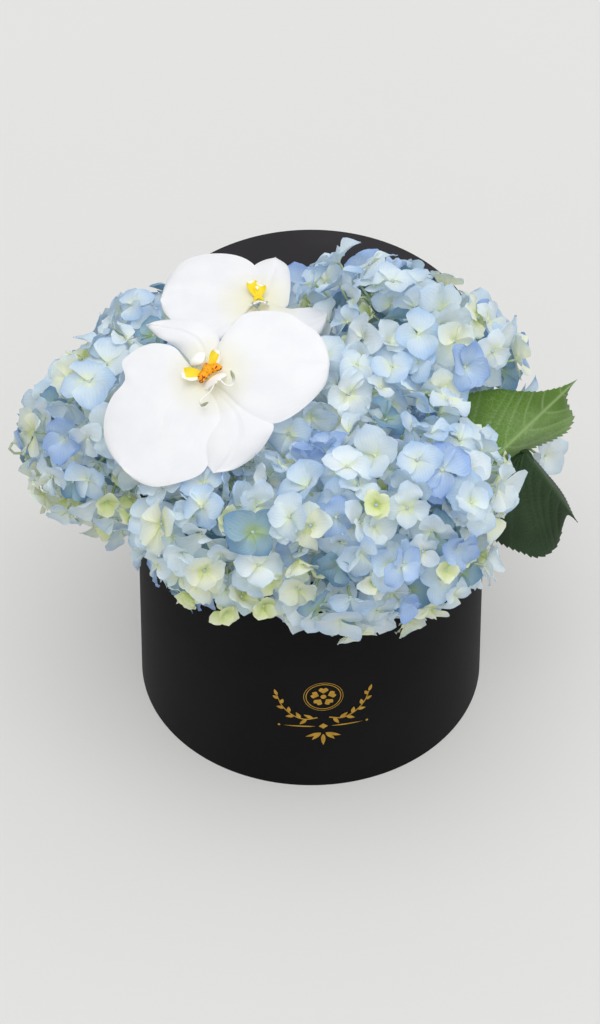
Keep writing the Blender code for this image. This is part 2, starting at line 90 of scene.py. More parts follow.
# Leaves: root of the blade, the way to its tip, the way its face looks, its length, its two margins
# in the blade's plane as (along, across) in millimetres from the root, how far each half bends away
# at its foot and at its tip, and the route of its petiole
LEAVES = {
    "upper": ((0.0814, -0.0212, 0.1560), (0.0565, 0.0619, 0.0126), (0.297, -0.447, 0.844), 0.0848,
              ((0, 0), (-1, 11), (3, 21), (12, 29), (21, 33), (30, 34), (39, 30), (48, 24), (56, 16),
               (64, 9), (73, 3.8), (79, 1.6), (84.8, 0)),
              ((0, 0), (3, -5), (12, -6), (21, -6), (29, -7), (36, -9.4), (43, -11.5), (50, -14),
               (58, -16), (63, -15.7), (68.6, -13), (70.5, -8), (73, -3.4), (78, -1.0), (84.8, 0)),
              ((0.006, 0.004), (0.022, 0.002)),
              ((0.072, -0.019, 0.1535), (0.063, -0.017, 0.1470), (0.057, -0.015, 0.1360),
               (0.054, -0.013, 0.090))),
    "lower": ((0.1110, 0.0055, 0.1510), (0.0287, 0.0039, -0.0556), (0.412, -0.905, 0.107), 0.0627,
              ((0, 0), (4, 1.2), (12, 2.0), (22, 2.4), (32, 2.8), (41, 2.8), (49, 1.8), (55, 0.8),
               (62.7, 0)),
              ((0, 0), (-4, -9), (-1, -22), (8, -33), (20, -39), (30, -41), (38, -40), (47, -37),
               (56, -33), (64, -29), (68, -23), (67, -16), (60, -9), (54, -4), (55, -1.6),
               (62.7, 0)),
              ((0.020, 0.008), (0.006, 0.001)),
              ((0.098, 0.005, 0.1560), (0.084, 0.004, 0.1570), (0.070, 0.003, 0.1500),
               (0.061, 0.002, 0.1360), (0.057, 0.001, 0.090))),
}
PETIOLE_RADIUS = 0.0016

# Petals and leaves bend away from this side, the one that the arrangement shows.
OUTWARD = np.array((0.0, -0.7098, 0.7044))
UPWARD = np.array((0.0, 0.7044, 0.7098))  # up the arrangement as seen from that side

SEED = 7


# ---- Vectors and meshes ----


def unit(vector):
    vector = np.asarray(vector, float)
    return vector / np.linalg.norm(vector)


def frame_along(direction):
    """Two unit vectors square to a direction."""
    along = unit(direction)
    helper = np.array((0, 0, 1.0)) if abs(along[2]) < 0.9 else np.array((1.0, 0, 0))
    across = unit(np.cross(along, helper))
    return across, np.cross(along, across)


def smooth_curve(points, count):
    """Points at even steps on a smooth curve through a list of points."""
    points = np.asarray(points, float)
    padded = np.vstack([2 * points[0] - points[1], points, 2 * points[-1] - points[-2]])
    found = []
    for share in np.linspace(0, len(points) - 1 - 1e-9, count):
        k = int(share)
        t = share - k
        a, b, c, d = padded[k:k + 4]
        found.append(0.5 * (2 * b + (c - a) * t + (2 * a - 5 * b + 4 * c - d) * t ** 2
                            + (3 * b - a - 3 * c + d) * t ** 3))
    return np.array(found)


def grid_faces(rows, columns):
    """Faces of a grid of points that are stored row after row."""
    return [(i * columns + j, (i + 1) * columns + j, (i + 1) * columns + j + 1, i * columns + j + 1)
            for i in range(rows - 1) for j in range(columns - 1)]


def tube(points, radii, sides):
    """Points and faces of a closed tube."""
    points = np.asarray(points, float)
    rings, faces = [], []
    across = None
    for index, (point, radius) in enumerate(zip(points, radii)):
        along = unit(points[min(index + 1, len(points) - 1)] - points[max(index - 1, 0)])
        if across is None:
            across, _ = frame_along(along)
        across = unit(across - along * across.dot(along))
        up = np.cross(along, across)
        turns = np.arange(sides) * math.tau / sides
        rings.append(point + radius * (np.cos(turns)[:, None] * across + np.sin(turns)[:, None] * up))
    for ring in range(len(points) - 1):
        for side in range(sides):
            following = (side + 1) % sides
            low, high = ring * sides, (ring + 1) * sides
            faces.append((low + side, low + following, high + following, high + side))
    faces.append(tuple(reversed(range(sides))))
    faces.append(tuple((len(points) - 1) * sides + side for side in range(sides)))
    return np.vstack(rings), faces


MAP_MARGIN = 0.04  # of a shape's square on the map


class Pile:
    """Many small shapes of one kind that become one mesh.

    Each point has a tone, and a side from -1 to 1 across its shape. Where all the shapes are grids,
    each gets a square of its own on the piece's map.
    """

    def __init__(self):
        self.points, self.faces, self.tones, self.sides, self.spots = [], [], [], [], []
        self.count = 0

    def add(self, points, faces, tones=None, spots=None, sides=None):
        self.points.append(points)
        self.faces.extend(tuple(self.count + corner for corner in face) for face in faces)
        self.tones.append(np.zeros(len(points)) if tones is None else tones)
        self.sides.append(np.zeros(len(points)) if sides is None else sides)
        self.spots.append(spots)
        self.count += len(points)

    def to_object(self, name, material):
        mesh = bpy.data.meshes.new(name)
        mesh.from_pydata(np.vstack(self.points).tolist(), [], self.faces)
        mesh.shade_smooth()
        mesh.materials.append(material)
        for key, values in (("tone", self.tones), ("side", self.sides)):
            layer = mesh.attributes.new(key, "FLOAT", "POINT")
            layer.data.foreach_set("value", np.concatenate(values).astype(np.float32))
        if all(spot is not None for spot in self.spots):
            self.lay_out(mesh)
        made = bpy.data.objects.new(name, mesh)
        bpy.context.scene.collection.objects.link(made)
        return made

    def lay_out(self, mesh):
        """Gives each shape its own square on the map, under the name that the export looks for."""
        side = math.ceil(math.sqrt(len(self.spots)))
        placed = []
        for index, spots in enumerate(self.spots):
            corner = np.array((index % side, index // side))
            placed.append((corner + MAP_MARGIN + spots * (1 - 2 * MAP_MARGIN)) / side)
        placed = np.vstack(placed)
        corners = np.empty(len(mesh.loops), int)
        mesh.loops.foreach_get("vertex_index", corners)
        layer = mesh.uv_layers.new(name="OFBake")
        layer.data.foreach_set("uv", placed[corners].astype(np.float32).ravel())


def grid_spots(rows, columns):
    """Places of a grid's points on its own square."""
    along, across = np.meshgrid(np.linspace(0, 1, rows), np.linspace(0, 1, columns), indexing="ij")
    return np.stack([along.ravel(), across.ravel()], 1)


# ---- Materials ----


def screen(red, green, blue):
    """A colour given in 0-255 as a screen shows it, made linear."""
    return tuple((c / 255 / 12.92) if c <= 10 else ((c / 255 + 0.055) / 1.055) ** 2.4
                 for c in (red, green, blue)) + (1.0,)


class Nodes:
    """Short calls for a material's nodes."""

    def __init__(self, name, roughness=0.5, specular=0.5, metallic=0.0):
        self.material = bpy.data.materials.new(name)
        self.material.use_nodes = True
        self.tree = self.material.node_tree
        self.shader = self.tree.nodes["Principled BSDF"]
        self.output = self.tree.nodes["Material Output"]
        self.shader.inputs["Roughness"].default_value = roughness
        self.shader.inputs["Specular IOR Level"].default_value = specular
        self.shader.inputs["Metallic"].default_value = metallic

    def node(self, kind, settings=(), **inputs):
        made = self.tree.nodes.new(kind)
        for key, value in dict(settings).items():
            setattr(made, key, value)
        for key, value in inputs.items():
            self.put(made.inputs[key.replace("_", " ")], value)
        return made

    def put(self, socket, value):
        if isinstance(value, bpy.types.NodeSocket):
            self.tree.links.new(value, socket)
        else:
            socket.default_value = value

    def place(self):
        return self.node("ShaderNodeTexCoord").outputs["Object"]

    def noise(self, scale, detail=2.0, roughness=0.5):
        return self.node("ShaderNodeTexNoise", Vector=self.place(), Scale=scale, Detail=detail,
                         Roughness=roughness).outputs["Fac"]

    def tone(self, name="tone"):
        return self.node("ShaderNodeAttribute", {"attribute_name": name}).outputs["Fac"]

    def math(self, operation, *values, clamp=False):
        made = self.node("ShaderNodeMath", {"operation": operation, "use_clamp": clamp})
        for socket, value in zip(made.inputs, values):
            self.put(socket, value)
        return made.outputs[0]

    def sum(self, value, factor, offset, clamp=True):
        """A value times a factor, and an offset."""
        return self.math("MULTIPLY_ADD", value, factor, offset, clamp=clamp)

    def ramp(self, value, low, high):
        """0 where a value is low and 1 where it is high, smooth between them."""
        return self.node("ShaderNodeMapRange", {"interpolation_type": "SMOOTHSTEP"},
                         Value=value, From_Min=low, From_Max=high).outputs["Result"]

    def mix(self, share, first, second):
        return self.node("ShaderNodeMix", {"data_type": "RGBA"},
                         Factor=share, A=first, B=second).outputs["Result"]

    def ribs(self, pace):
        """Fine ribs that run along a shape: the sine of its side times a pace, without its sign."""
        return self.math("ABSOLUTE", self.math("SINE", self.math("MULTIPLY", self.tone("side"), pace)))

    def colour(self, value):
        self.put(self.shader.inputs["Base Color"], value)

    def bump(self, height, strength, distance):
        made = self.node("ShaderNodeBump", Height=height, Strength=strength, Distance=distance)
        self.put(self.shader.inputs["Normal"], made.outputs["Normal"])

    def glow_through(self, share, colour):
        """Lets part of the light through a thin petal or leaf."""
        through = self.node("ShaderNodeBsdfTranslucent", Color=colour)
        both = self.node("ShaderNodeMixShader", Fac=share)
        self.put(both.inputs[1], self.shader.outputs[0])
        self.put(both.inputs[2], through.outputs[0])
        self.put(self.output.inputs["Surface"], both.outputs[0])


SEPAL_VEINS, PETAL_VEINS = 14.0, 30.0  # the pace of their ribs

# The colours of a floret's sepals at their feet, in their middles and at their rims
SEPAL_COLOURS = {
    "ice": ((238, 243, 212), (235, 243, 246), (214, 231, 243)),
    "mist": ((233, 241, 206), (225, 237, 241), (197, 217, 237)),
    "sky": ((234, 242, 210), (215, 231, 242), (179, 207, 238)),
    "blue": ((226, 238, 220), (191, 213, 240), (153, 183, 231)),
    "cream": ((222, 231, 162), (240, 243, 220), (222, 234, 234)),
    "lime": ((194, 208, 126), (222, 232, 172), (236, 241, 212)),
    # Teal is an aged kind whose darker colours also stand for painted shade, most of all deep in the heads.
    "teal": ((176, 200, 152), (158, 187, 199), (116, 155, 190)),
}


def sepal_material(name, foot, middle, rim):
    """Cream at the foot and bluer to the rim, with soft blotches and fine veins."""
    made = Nodes(name, roughness=0.6, specular=0.2)
    blotch = made.noise(170, 3)
    drift = made.noise(40, 1)
    uneven = made.sum(blotch, 0.6, made.sum(drift, 0.7, -0.65, clamp=False), clamp=False)
    veins = made.ribs(SEPAL_VEINS)
    place = made.sum(veins, 0.12, made.sum(uneven, 0.8, made.tone(), clamp=False), clamp=False)
    body = made.mix(made.ramp(place, 0.46, 1.14), middle, rim)
    colour = made.mix(made.ramp(place, 0.10, 0.48), foot, body)
    made.colour(colour)
    made.bump(made.sum(made.noise(900, 2), 0.5, veins, clamp=False), 0.25, 0.0003)
    made.glow_through(0.24, colour)
    return made.material


def grained_material(name, grain, low, high, contrast=0.15, relief=None, **finish):
    """Two colours in the grain of a noise, and a relief: its noise, strength and distance."""
    made = Nodes(name, **finish)
    made.colour(made.mix(made.ramp(made.noise(*grain), 0.5 - contrast, 0.5 + contrast), low, high))
    if relief:
        noise, strength, distance = relief
        made.bump(made.noise(*noise), strength, distance)
    return made.material


def toned_material(name, first, second, **finish):
    """The first colour at tone 0 and the second at tone 1."""
    made = Nodes(name, **finish)
    made.colour(made.mix(made.tone(), first, second))
    return made.material


def paper_material(name, low, high):
    """Matt black paper over board."""
    made = Nodes(name, roughness=0.8, specular=0.12)
    made.put(made.shader.inputs["Sheen Weight"], 0.03)
    made.put(made.shader.inputs["Sheen Roughness"], 0.4)
    fibres = made.noise(1400, 4, 0.6)
    made.colour(made.mix(made.ramp(made.noise(22, 2), 0.3, 0.7), low, high))
    made.put(made.shader.inputs["Roughness"], made.sum(fibres, 0.2, 0.68))
    made.bump(fibres, 0.12, 0.0001)
    return made.material


NET_SCALE = 420  # of the net of small veins, in cells a metre


def leaf_material(name, blade, lit_half_colour, vein, through):
    """Green with paler veins and a fine net between them, paler in random patches, and paler on the half
    beyond the midrib as painted light.
    """
    made = Nodes(name, roughness=0.5, specular=0.3)
    mottle = made.noise(75, 4, 0.65)
    # Random patches, and the half beyond the midrib paler as painted light, for the lamp that this half
    # faces.
    mottle_and_lit_half = made.sum(mottle, 1.2, made.sum(made.tone("side"), -0.55, -0.35, clamp=False))
    base = made.mix(mottle_and_lit_half, blade, lit_half_colour)
    net = made.node("ShaderNodeTexVoronoi", {"feature": "DISTANCE_TO_EDGE"}, Vector=made.place(),
                    Scale=NET_SCALE)
    seams = made.ramp(net.outputs["Distance"], 0.10, 0.0)
    netted = made.mix(made.sum(seams, 0.28, 0.0), base, vein)
    shade = tuple(0.7 * part for part in blade[:3]) + (1.0,)
    shaded = made.mix(made.ramp(made.noise(28, 2), 0.35, 0.75), netted, shade)
    colour = made.mix(made.sum(made.tone(), 0.62, 0.0), shaded, vein)
    made.colour(colour)
    made.bump(made.sum(seams, -0.5, made.noise(420, 4, 0.6), clamp=False), 0.4, 0.0006)
    made.glow_through(0.15, through)
    return made.material


def petal_material():
    """White, faintly cream at the foot, with fine veins."""
    made = Nodes("white_petal", roughness=0.5, specular=0.2)
    white = made.mix(made.ramp(made.noise(60, 2), 0.3, 0.7), screen(245, 245, 246), screen(241, 241, 243))
    colour = made.mix(made.tone(), white, screen(240, 238, 214))
    made.colour(colour)
    made.bump(made.sum(made.noise(500, 3), 0.7, made.ribs(PETAL_VEINS), clamp=False), 0.10, 0.0003)
    made.glow_through(0.22, colour)
    return made.material


def lip_material():
    """White at tone 0, yellow at tone 0.5 and orange with red-brown freckles at tone 1."""
    made = Nodes("orchid_lip", roughness=0.4, specular=0.3)
    tone = made.tone()
    yellow = made.mix(made.ramp(tone, 0.24, 0.42), screen(249, 249, 244), screen(240, 214, 36))
    orange = made.mix(made.ramp(tone, 0.58, 0.82), yellow, screen(248, 164, 6))
    freckles = made.ramp(made.noise(900, 1), 0.55, 0.60)
    reach = made.math("MULTIPLY", freckles, made.ramp(tone, 0.62, 0.95))
    made.colour(made.mix(reach, orange, screen(148, 52, 20)))
    return made.material


def make_materials():
    foam_grain, stem_streak = (700, 4, 0.7), (90, 4, 0.6)
    made = {
        "black_paper": paper_material("black_paper", screen(12, 11, 12), screen(16, 15, 16)),
        # The lid's paper is a lighter copy of the box's black paper: painted light, for the light that the
        # lid catches.
        "lid_paper_lit": paper_material("lid_paper_lit", screen(44, 42, 45), screen(49, 47, 50)),
        "foil": grained_material("gold_foil", (300, 2), screen(206, 164, 74), screen(186, 142, 56), 0.2,
                                 ((1200, 3), 0.15, 0.00005), roughness=0.32, metallic=1.0),
        "foam": grained_material("wet_foam", foam_grain, screen(30, 62, 36), screen(62, 102, 58),
                                 relief=(foam_grain, 0.9, 0.001), roughness=0.95, specular=0.1),
        "stem": grained_material("green_stem", stem_streak, screen(76, 104, 48), screen(110, 134, 76),
                                 relief=(stem_streak, 0.3, 0.0006), roughness=0.55, specular=0.4),
        "stalk": grained_material("pale_stalk", (120, 3), screen(152, 176, 122), screen(196, 210, 180),
                                  roughness=0.5, specular=0.4),
        "eye": toned_material("floret_eyes", screen(206, 216, 186), screen(176, 194, 214),
                              roughness=0.5, specular=0.4),
        "petal": petal_material(),
        "lip": lip_material(),
        "column": toned_material("orchid_column", screen(246, 246, 245), screen(246, 245, 236),
                                 roughness=0.45, specular=0.3),
        "tendril": toned_material("orchid_tendril", screen(244, 244, 242), screen(158, 162, 130),
                                  roughness=0.5, specular=0.3),
        "leaf_upper": leaf_material("leaf_light", screen(94, 132, 46), screen(130, 154, 106),
                                    screen(164, 188, 130), screen(130, 170, 50)),
        # The lower leaf's darker greens are painted shade, for the shadow it lies in under the upper leaf.
        "leaf_lower": leaf_material("leaf_shaded", screen(34, 62, 26), screen(50, 76, 46),
                                    screen(72, 98, 62), screen(50, 90, 20)),
    }
    for kind, colours in SEPAL_COLOURS.items():
        made[kind] = sepal_material(f"sepals_{kind}", *(screen(*colour) for colour in colours))
    return made


# ---- Box and lid ----


def turned(profile, sides):
    """Points and faces of a shape turned round Z from (radius, height) points that end on the axis."""
    turns = np.arange(sides) * math.tau / sides
    points, faces, rings = [], [], []
    for radius, height in profile:
        if radius == 0:
            rings.append([len(points)] * sides)
            points.append((0.0, 0.0, height))
            continue
        rings.append(list(range(len(points), len(points) + sides)))
        points += [(radius * math.cos(t), radius * math.sin(t), height) for t in turns]
    for low, high in zip(rings, rings[1:]):
        for side in range(sides):
            following = (side + 1) % sides
            corners = [low[side], low[following], high[following], high[side]]
            faces.append(tuple(dict.fromkeys(corners)))
    return np.array(points), faces


def rounded(corner_radius, *corners):
    """A profile whose inner corners are rounded by short arcs."""
    corners = [np.array(corner, float) for corner in corners]
    found = [corners[0]]
    for before, corner, after in zip(corners, corners[1:], corners[2:]):
        start = corner + unit(before - corner) * corner_radius
        end = corner + unit(after - corner) * corner_radius
        for t in np.linspace(0, 1, 5):
            found.append((1 - t) ** 2 * start + 2 * t * (1 - t) * corner + t ** 2 * end)
    found.append(corners[-1])
    return [tuple(point) for point in found]


BOX_SIDES = 160
EDGE_ROUND = 0.0006  # the paper rounds the board's edges


def cup_object(name, radius, depth, material, place):
    """An open cup of board covered in paper, with rounded edges."""
    profile = rounded(EDGE_ROUND, (0, 0), (radius, 0), (radius, depth), (radius - BOARD, depth),
                      (radius - BOARD, BOARD), (0, BOARD))
    pile = Pile()
    points, faces = turned(profile, BOX_SIDES)
    pile.add(place(points), faces)
    made = pile.to_object(name, material)
    made.data.set_sharp_from_angle(angle=math.radians(40))
    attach(made, "root")
    return made


def make_box(paper):
    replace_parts(cup_object("box_board", BOX_RADIUS, BOX_HEIGHT, paper, lambda points: points), "hat_box")


def make_lid(paper):
    def stood(points):
        """Turned so that its closed side is at the back and its hollow side looks to the box."""
        x, y, z = points.T
        return np.stack([x, LID_BACK - z, LID_MIDDLE + y], 1)

    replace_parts(cup_object("lid_board", LID_RADIUS, LID_BACK - LID_FRONT, paper, stood), "lid")


# ---- The gold ornament on the box's front: a rosette between two leafy sprigs ----

ORNAMENT_MIDDLE = (0.0063, 0.0570)  # along the box's front and up it
FOIL_PROUD = 0.00018
FOIL_SINK = 0.0003
FOIL_LEAF_STEPS = 9
ROSETTE_HEIGHT = 0.0105
ROSETTE_SIZE = 1.5
ROSETTE_PETALS = 5
PETAL_REACH, PETAL_FOOT, PETAL_HALF_ANGLE = 0.0046, 0.0016, math.radians(29)
NOTCH_DEPTH, NOTCH_WIDTH = 0.16, 0.22  # as shares of a petal's reach and of half its width
HUB_RADIUS = 0.0010
RINGS = ((0.0060, 0.00045), (0.0068, 0.0003))  # radius, and width of the line
RING_STEPS = 40
SPRIG_ROUTE = ((0.0030, -0.0050), (0.0100, -0.0062), (0.0165, -0.0030), (0.0215, 0.0030),
               (0.0240, 0.0100))
SPRIG_POINTS = 26
SPRIG_LEAVES = 8
RULE_HEIGHT = -0.0115
SPRAY_HEIGHT = -0.0165
# The leaves of the spray on each side: the way they point, out and up, and their lengths
SPRAY = ((-0.35, 0.0085), (-1.1, 0.0070))
LEAF_WIDTH = 0.0021


def foil_outline(pile, outline):
    """A flat outline cut from foil and laid round the box's front."""
    outline = np.asarray(outline, float) + ORNAMENT_MIDDLE
    middle = outline.mean(axis=0)
    x, z = np.vstack([outline, middle]).T
    angle = x / BOX_RADIUS
    shells = [np.stack([radius * np.sin(angle), -radius * np.cos(angle), z], 1)
              for radius in (BOX_RADIUS + FOIL_PROUD, BOX_RADIUS - FOIL_SINK)]
    count = len(outline)
    faces = []
    for k in range(count):
        following = (k + 1) % count
        faces.append((k, following, count))
        faces.append((count + 1 + following, count + 1 + k, 2 * count + 1))
        faces.append((following, k, count + 1 + k, count + 1 + following))
    pile.add(np.vstack(shells), faces)


def foil_leaf(root, direction, length, width):
    """Outline of a small pointed leaf."""
    direction = np.asarray(unit(direction))
    across = np.array((-direction[1], direction[0]))
    t = np.linspace(0, 1, FOIL_LEAF_STEPS)
    half = 0.5 * width * np.sin(math.pi * t ** 0.8) ** 0.9
    left = root + np.outer(t * length, direction) + np.outer(half, across)
    right = root + np.outer(t * length, direction) - np.outer(half, across)
    return np.vstack([left[:-1], right[:0:-1]])


def foil_ring(pile, middle, radius, width):
    """A thin ring, as short bars end to end."""
    turns = np.linspace(0, math.tau, RING_STEPS + 1)
    for first, second in zip(turns, turns[1:]):
        corners = [(radius + side * width / 2, turn) for side, turn in
                   ((1, first), (1, second), (-1, second), (-1, first))]
        foil_outline(pile, [(middle[0] + r * math.cos(turn), middle[1] + r * math.sin(turn))
                            for r, turn in reversed(corners)])


def foil_dot(radius):
    """Outline of a round dot."""
    turns = np.arange(14) * math.tau / 14
    return radius * np.stack([np.cos(turns), np.sin(turns)], 1)


def add_rosette(pile):
    """Round petals with notched tips round a small hub, in two thin rings."""
    middle = (0, ROSETTE_HEIGHT)
    t = np.linspace(-1, 1, 15)
    notched = 1 - NOTCH_DEPTH * np.exp(-(t / NOTCH_WIDTH) ** 2)
    reach = ROSETTE_SIZE * PETAL_REACH * notched * np.cos(t * 1.1) ** 0.35
    for k in range(ROSETTE_PETALS):
        turn = math.pi / 2 + math.tau * k / ROSETTE_PETALS
        spread = turn + t * PETAL_HALF_ANGLE
        edge = np.stack([reach * np.cos(spread), reach * np.sin(spread)], 1)
        foot = ROSETTE_SIZE * PETAL_FOOT * np.array((math.cos(turn), math.sin(turn)))
        foil_outline(pile, np.vstack([edge, foot]) + middle)
    foil_outline(pile, foil_dot(ROSETTE_SIZE * HUB_RADIUS) + middle)
    for radius, width in RINGS:
        foil_ring(pile, middle, ROSETTE_SIZE * radius, width)


def add_sprig(pile, side):
    """A thin bent stem with leaves to both sides and one at its tip."""
    route = smooth_curve(np.array(SPRIG_ROUTE) * (side, 1), SPRIG_POINTS)
    along = np.gradient(route, axis=0)
    across = np.stack([-along[:, 1], along[:, 0]], 1) / np.linalg.norm(along, axis=1)[:, None]
    for k in range(len(route) - 1):
        width = 0.00042 - 0.00022 * k / len(route)
        quad = [route[k] + across[k] * width, route[k] - across[k] * width,
                route[k + 1] - across[k + 1] * width, route[k + 1] + across[k + 1] * width]
        foil_outline(pile, quad if side > 0 else quad[::-1])
    for k in range(SPRIG_LEAVES):
        at = 2 + 3 * k
        lean = unit(along[at]) + (1 if k % 2 else -1) * 0.95 * across[at]
        foil_outline(pile, foil_leaf(route[at], lean, 0.0056 - 0.0003 * k, LEAF_WIDTH))
    foil_outline(pile, foil_leaf(route[-1], along[-1], 0.0046, 0.0018))


def make_ornament(foil):
    pile = Pile()
    add_rosette(pile)
    for side in (-1, 1):
        add_sprig(pile, side)
        # A tapering rule with a dot at its end, over a spray of leaves
        foil_outline(pile, foil_leaf(np.array((side * 0.0040, RULE_HEIGHT)), (side, 0), 0.0170, 0.0009))
        foil_outline(pile, foil_dot(0.0007) + (side * 0.0230, RULE_HEIGHT))
        for rise, length in SPRAY:
            root = np.array((side * 0.0012, SPRAY_HEIGHT))
            foil_outline(pile, foil_leaf(root, (side, rise), length, LEAF_WIDTH))
    diamond = np.array(((0.0024, 0), (0, 0.0020), (-0.0024, 0), (0, -0.0020)))
    foil_outline(pile, diamond + (0, RULE_HEIGHT))
    foil_outline(pile, foil_leaf(np.array((0, -0.0175)), (0, -1), 0.0082, 0.0023))
    made = pile.to_object("gold_ornament", foil)
    made.data.set_sharp_from_angle(angle=math.radians(30))
    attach(made, "root")


# ---- Camera, floor and light ----

CAMERA_PLACE = (-0.00576, -2.1992, 2.2950)
CAMERA_TILT = math.radians(45.215)
CAMERA_LENS = 209.4


def make_camera():
    data = bpy.data.cameras.new("camera")
    data.lens = CAMERA_LENS
    data.sensor_width = 36.0
    camera = bpy.data.objects.new("camera", data)
    camera.location = CAMERA_PLACE
    camera.rotation_euler = (CAMERA_TILT, 0, 0)
    bpy.context.scene.collection.objects.link(camera)
    bpy.context.scene.camera = camera


FLOOR_SIDE = 12.0
FLOOR_PAINTED_GLOW = 0.33  # the floor glows by itself: painted light that softens the shadows round the box


def make_floor():
    half = FLOOR_SIDE / 2
    corners = [(-half, -half, 0), (half, -half, 0), (half, half, 0), (-half, half, 0)]
    mesh = bpy.data.meshes.new("floor")
    mesh.from_pydata(corners, [], [(0, 1, 2, 3)])
    made = Nodes("pale_floor", roughness=0.9, specular=0.05)
    drift = made.ramp(made.noise(3, 2), 0.3, 0.7)
    made.colour(made.mix(drift, screen(180, 180, 178), screen(179, 179, 177)))
    # The floor's own glow is painted light, which lightens the shadows cast on it.
    made.put(made.shader.inputs["Emission Color"], screen(222, 222, 220))
    made.put(made.shader.inputs["Emission Strength"], FLOOR_PAINTED_GLOW)
    mesh.materials.append(made.material)
    floor = bpy.data.objects.new("floor", mesh)
    bpy.context.scene.collection.objects.link(floor)


WORLD_COLOUR, WORLD_STRENGTH = (0.97, 0.98, 1.0, 1.0), 0.42

# Far soft lamps, each as even as a large studio softbox: the way to it, its strength, and how wide
# it looks in degrees
LAMPS = {
    "key": ((-0.10, -0.08, 1.00), 0.98, 50),
    "front": ((0.20, -0.75, 0.60), 0.26, 50),
    "side": ((1.0, 0.08, 0.60), 0.58, 60),
    "rear": ((0.05, 0.55, 0.80), 0.38, 60),
    "lift": ((0.0, -0.40, 0.90), 0.78, 60),
}
SHADOWLESS = "lift"  # this one stands for the light that a white studio throws back


def make_light():
    world = bpy.data.worlds.new("studio")
    world.use_nodes = True
    background = world.node_tree.nodes["Background"]
    background.inputs["Color"].default_value = WORLD_COLOUR
    background.inputs["Strength"].default_value = WORLD_STRENGTH
    bpy.context.scene.world = world
    for name, (direction, strength, softness) in LAMPS.items():
        data = bpy.data.lights.new(name, "SUN")
        data.angle = math.radians(softness)
        data.energy = strength
        data.use_shadow = name != SHADOWLESS
        lamp = bpy.data.objects.new(name, data)
        lamp.rotation_euler = Vector(direction).to_track_quat("Z", "Y").to_euler()
        bpy.context.scene.collection.objects.link(lamp)


# ---- Hydrangea heads ----

# Rows and columns of a sepal's grid, on the heads and inside them
OUTER_GRID, INNER_GRID = (11, 7), (7, 5)
SEPAL_START, SEPAL_END = 0.05, 0.994  # a sepal's grid leaves out its very foot and tip
SEPAL_LENGTHS, SEPAL_WIDTHS = (0.84, 1.12), (0.92, 1.20)  # of a floret's reach, and of the length
SEPAL_TWIST = (2, 16)  # a sepal's turn on its own axis, in degrees
TILT_SPREAD, TURN_SPREAD = 11, 7  # how unevenly sepals rise and stand round, in degrees
OVERLAP = 0.0006  # every second sepal lies this much over the others
FIVE_SEPALS = 0.05  # this share of the florets has five sepals and the others have four
FLORET_REACH = 0.0156
FLORET_SIZES, YOUNG_SIZE = (0.82, 1.10), 0.58
FLORET_DEPTH = 0.006
OPEN_CLOSING, CUPPED_CLOSING = (-4, 22), (25, 50)  # how far sepals rise from flat, in degrees
BORDER_REACH = 0.10  # florets at a head's border keep this share of their reach inside
CAP_SHARES = (0.94, 1.035)  # florets reach this share of their shell's radius
EYE_RADIUS, EYE_HEIGHT = 0.0012, 0.0009

# How a head's stalk forks: how deep below the middle, into how many rays, how far round, how far
# out, and how far inside the head's border, with lengths other than the last as shares of the radius
FORK_DEPTH, RAYS, RAY_SPAN, RAY_REACH, RAY_ROOM = 0.25, 16, 1.45, 0.42, 0.004
RAY_RADII, PEDICEL_RADII = (0.0016, 0.0011), (0.0008, 0.0007)

# Shells of florets from the outside in: share of the head's radius, places on a whole sphere,
# size of a floret, unevenness of the places, how far they lean, and in how many pairs of coarse
# faces a floret may cross its neighbours
SHELLS = (
    (0.985, 190, 1.00, 0.06, 0.40, 5),
    (0.90, 170, 0.97, 0.08, 0.42, 7),
    (0.77, 130, 0.98, 0.12, 0.25, 10),
    (0.58, 80, 0.95, 0.16, 0.25, 14),
)
# Where a head bulges out or in: a direction, by how much, and how narrowly
BULGES = {
    "back_right": (((1.0, -0.45, -0.25), 0.015, 5), ((0.42, 0.45, 0.78), -0.012, 5),
                   ((-0.75, 0.45, 0.50), 0.007, 6), ((0.0, 0.70, 0.70), -0.005, 10),
                   ((-0.29, 0.64, 0.71), 0.004, 20), ((0.60, 0.50, 0.62), -0.007, 14),
                   ((0.95, 0.05, 0.20), 0.006, 10), ((-0.85, 0.36, 0.38), 0.008, 12),
                   ((0.76, 0.42, 0.49), -0.010, 18), ((0.99, 0.06, 0.12), -0.006, 25)),
    "back_left": (((-0.75, 0.46, 0.46), 0.006, 8),),
    "front_left": (((0.10, -0.70, -0.70), -0.013, 8), ((-0.75, -0.50, -0.45), -0.009, 8)),
    "front": (((0.45, -0.63, -0.63), -0.008, 10), ((-0.45, -0.63, -0.63), -0.006, 10),
              ((0.15, -0.71, -0.68), 0.005, 20)),
    "front_right": (((0.92, -0.28, -0.10), 0.013, 6), ((0.88, -0.34, -0.31), -0.032, 20),
                    ((0.55, -0.60, -0.58), -0.007, 12)),
}
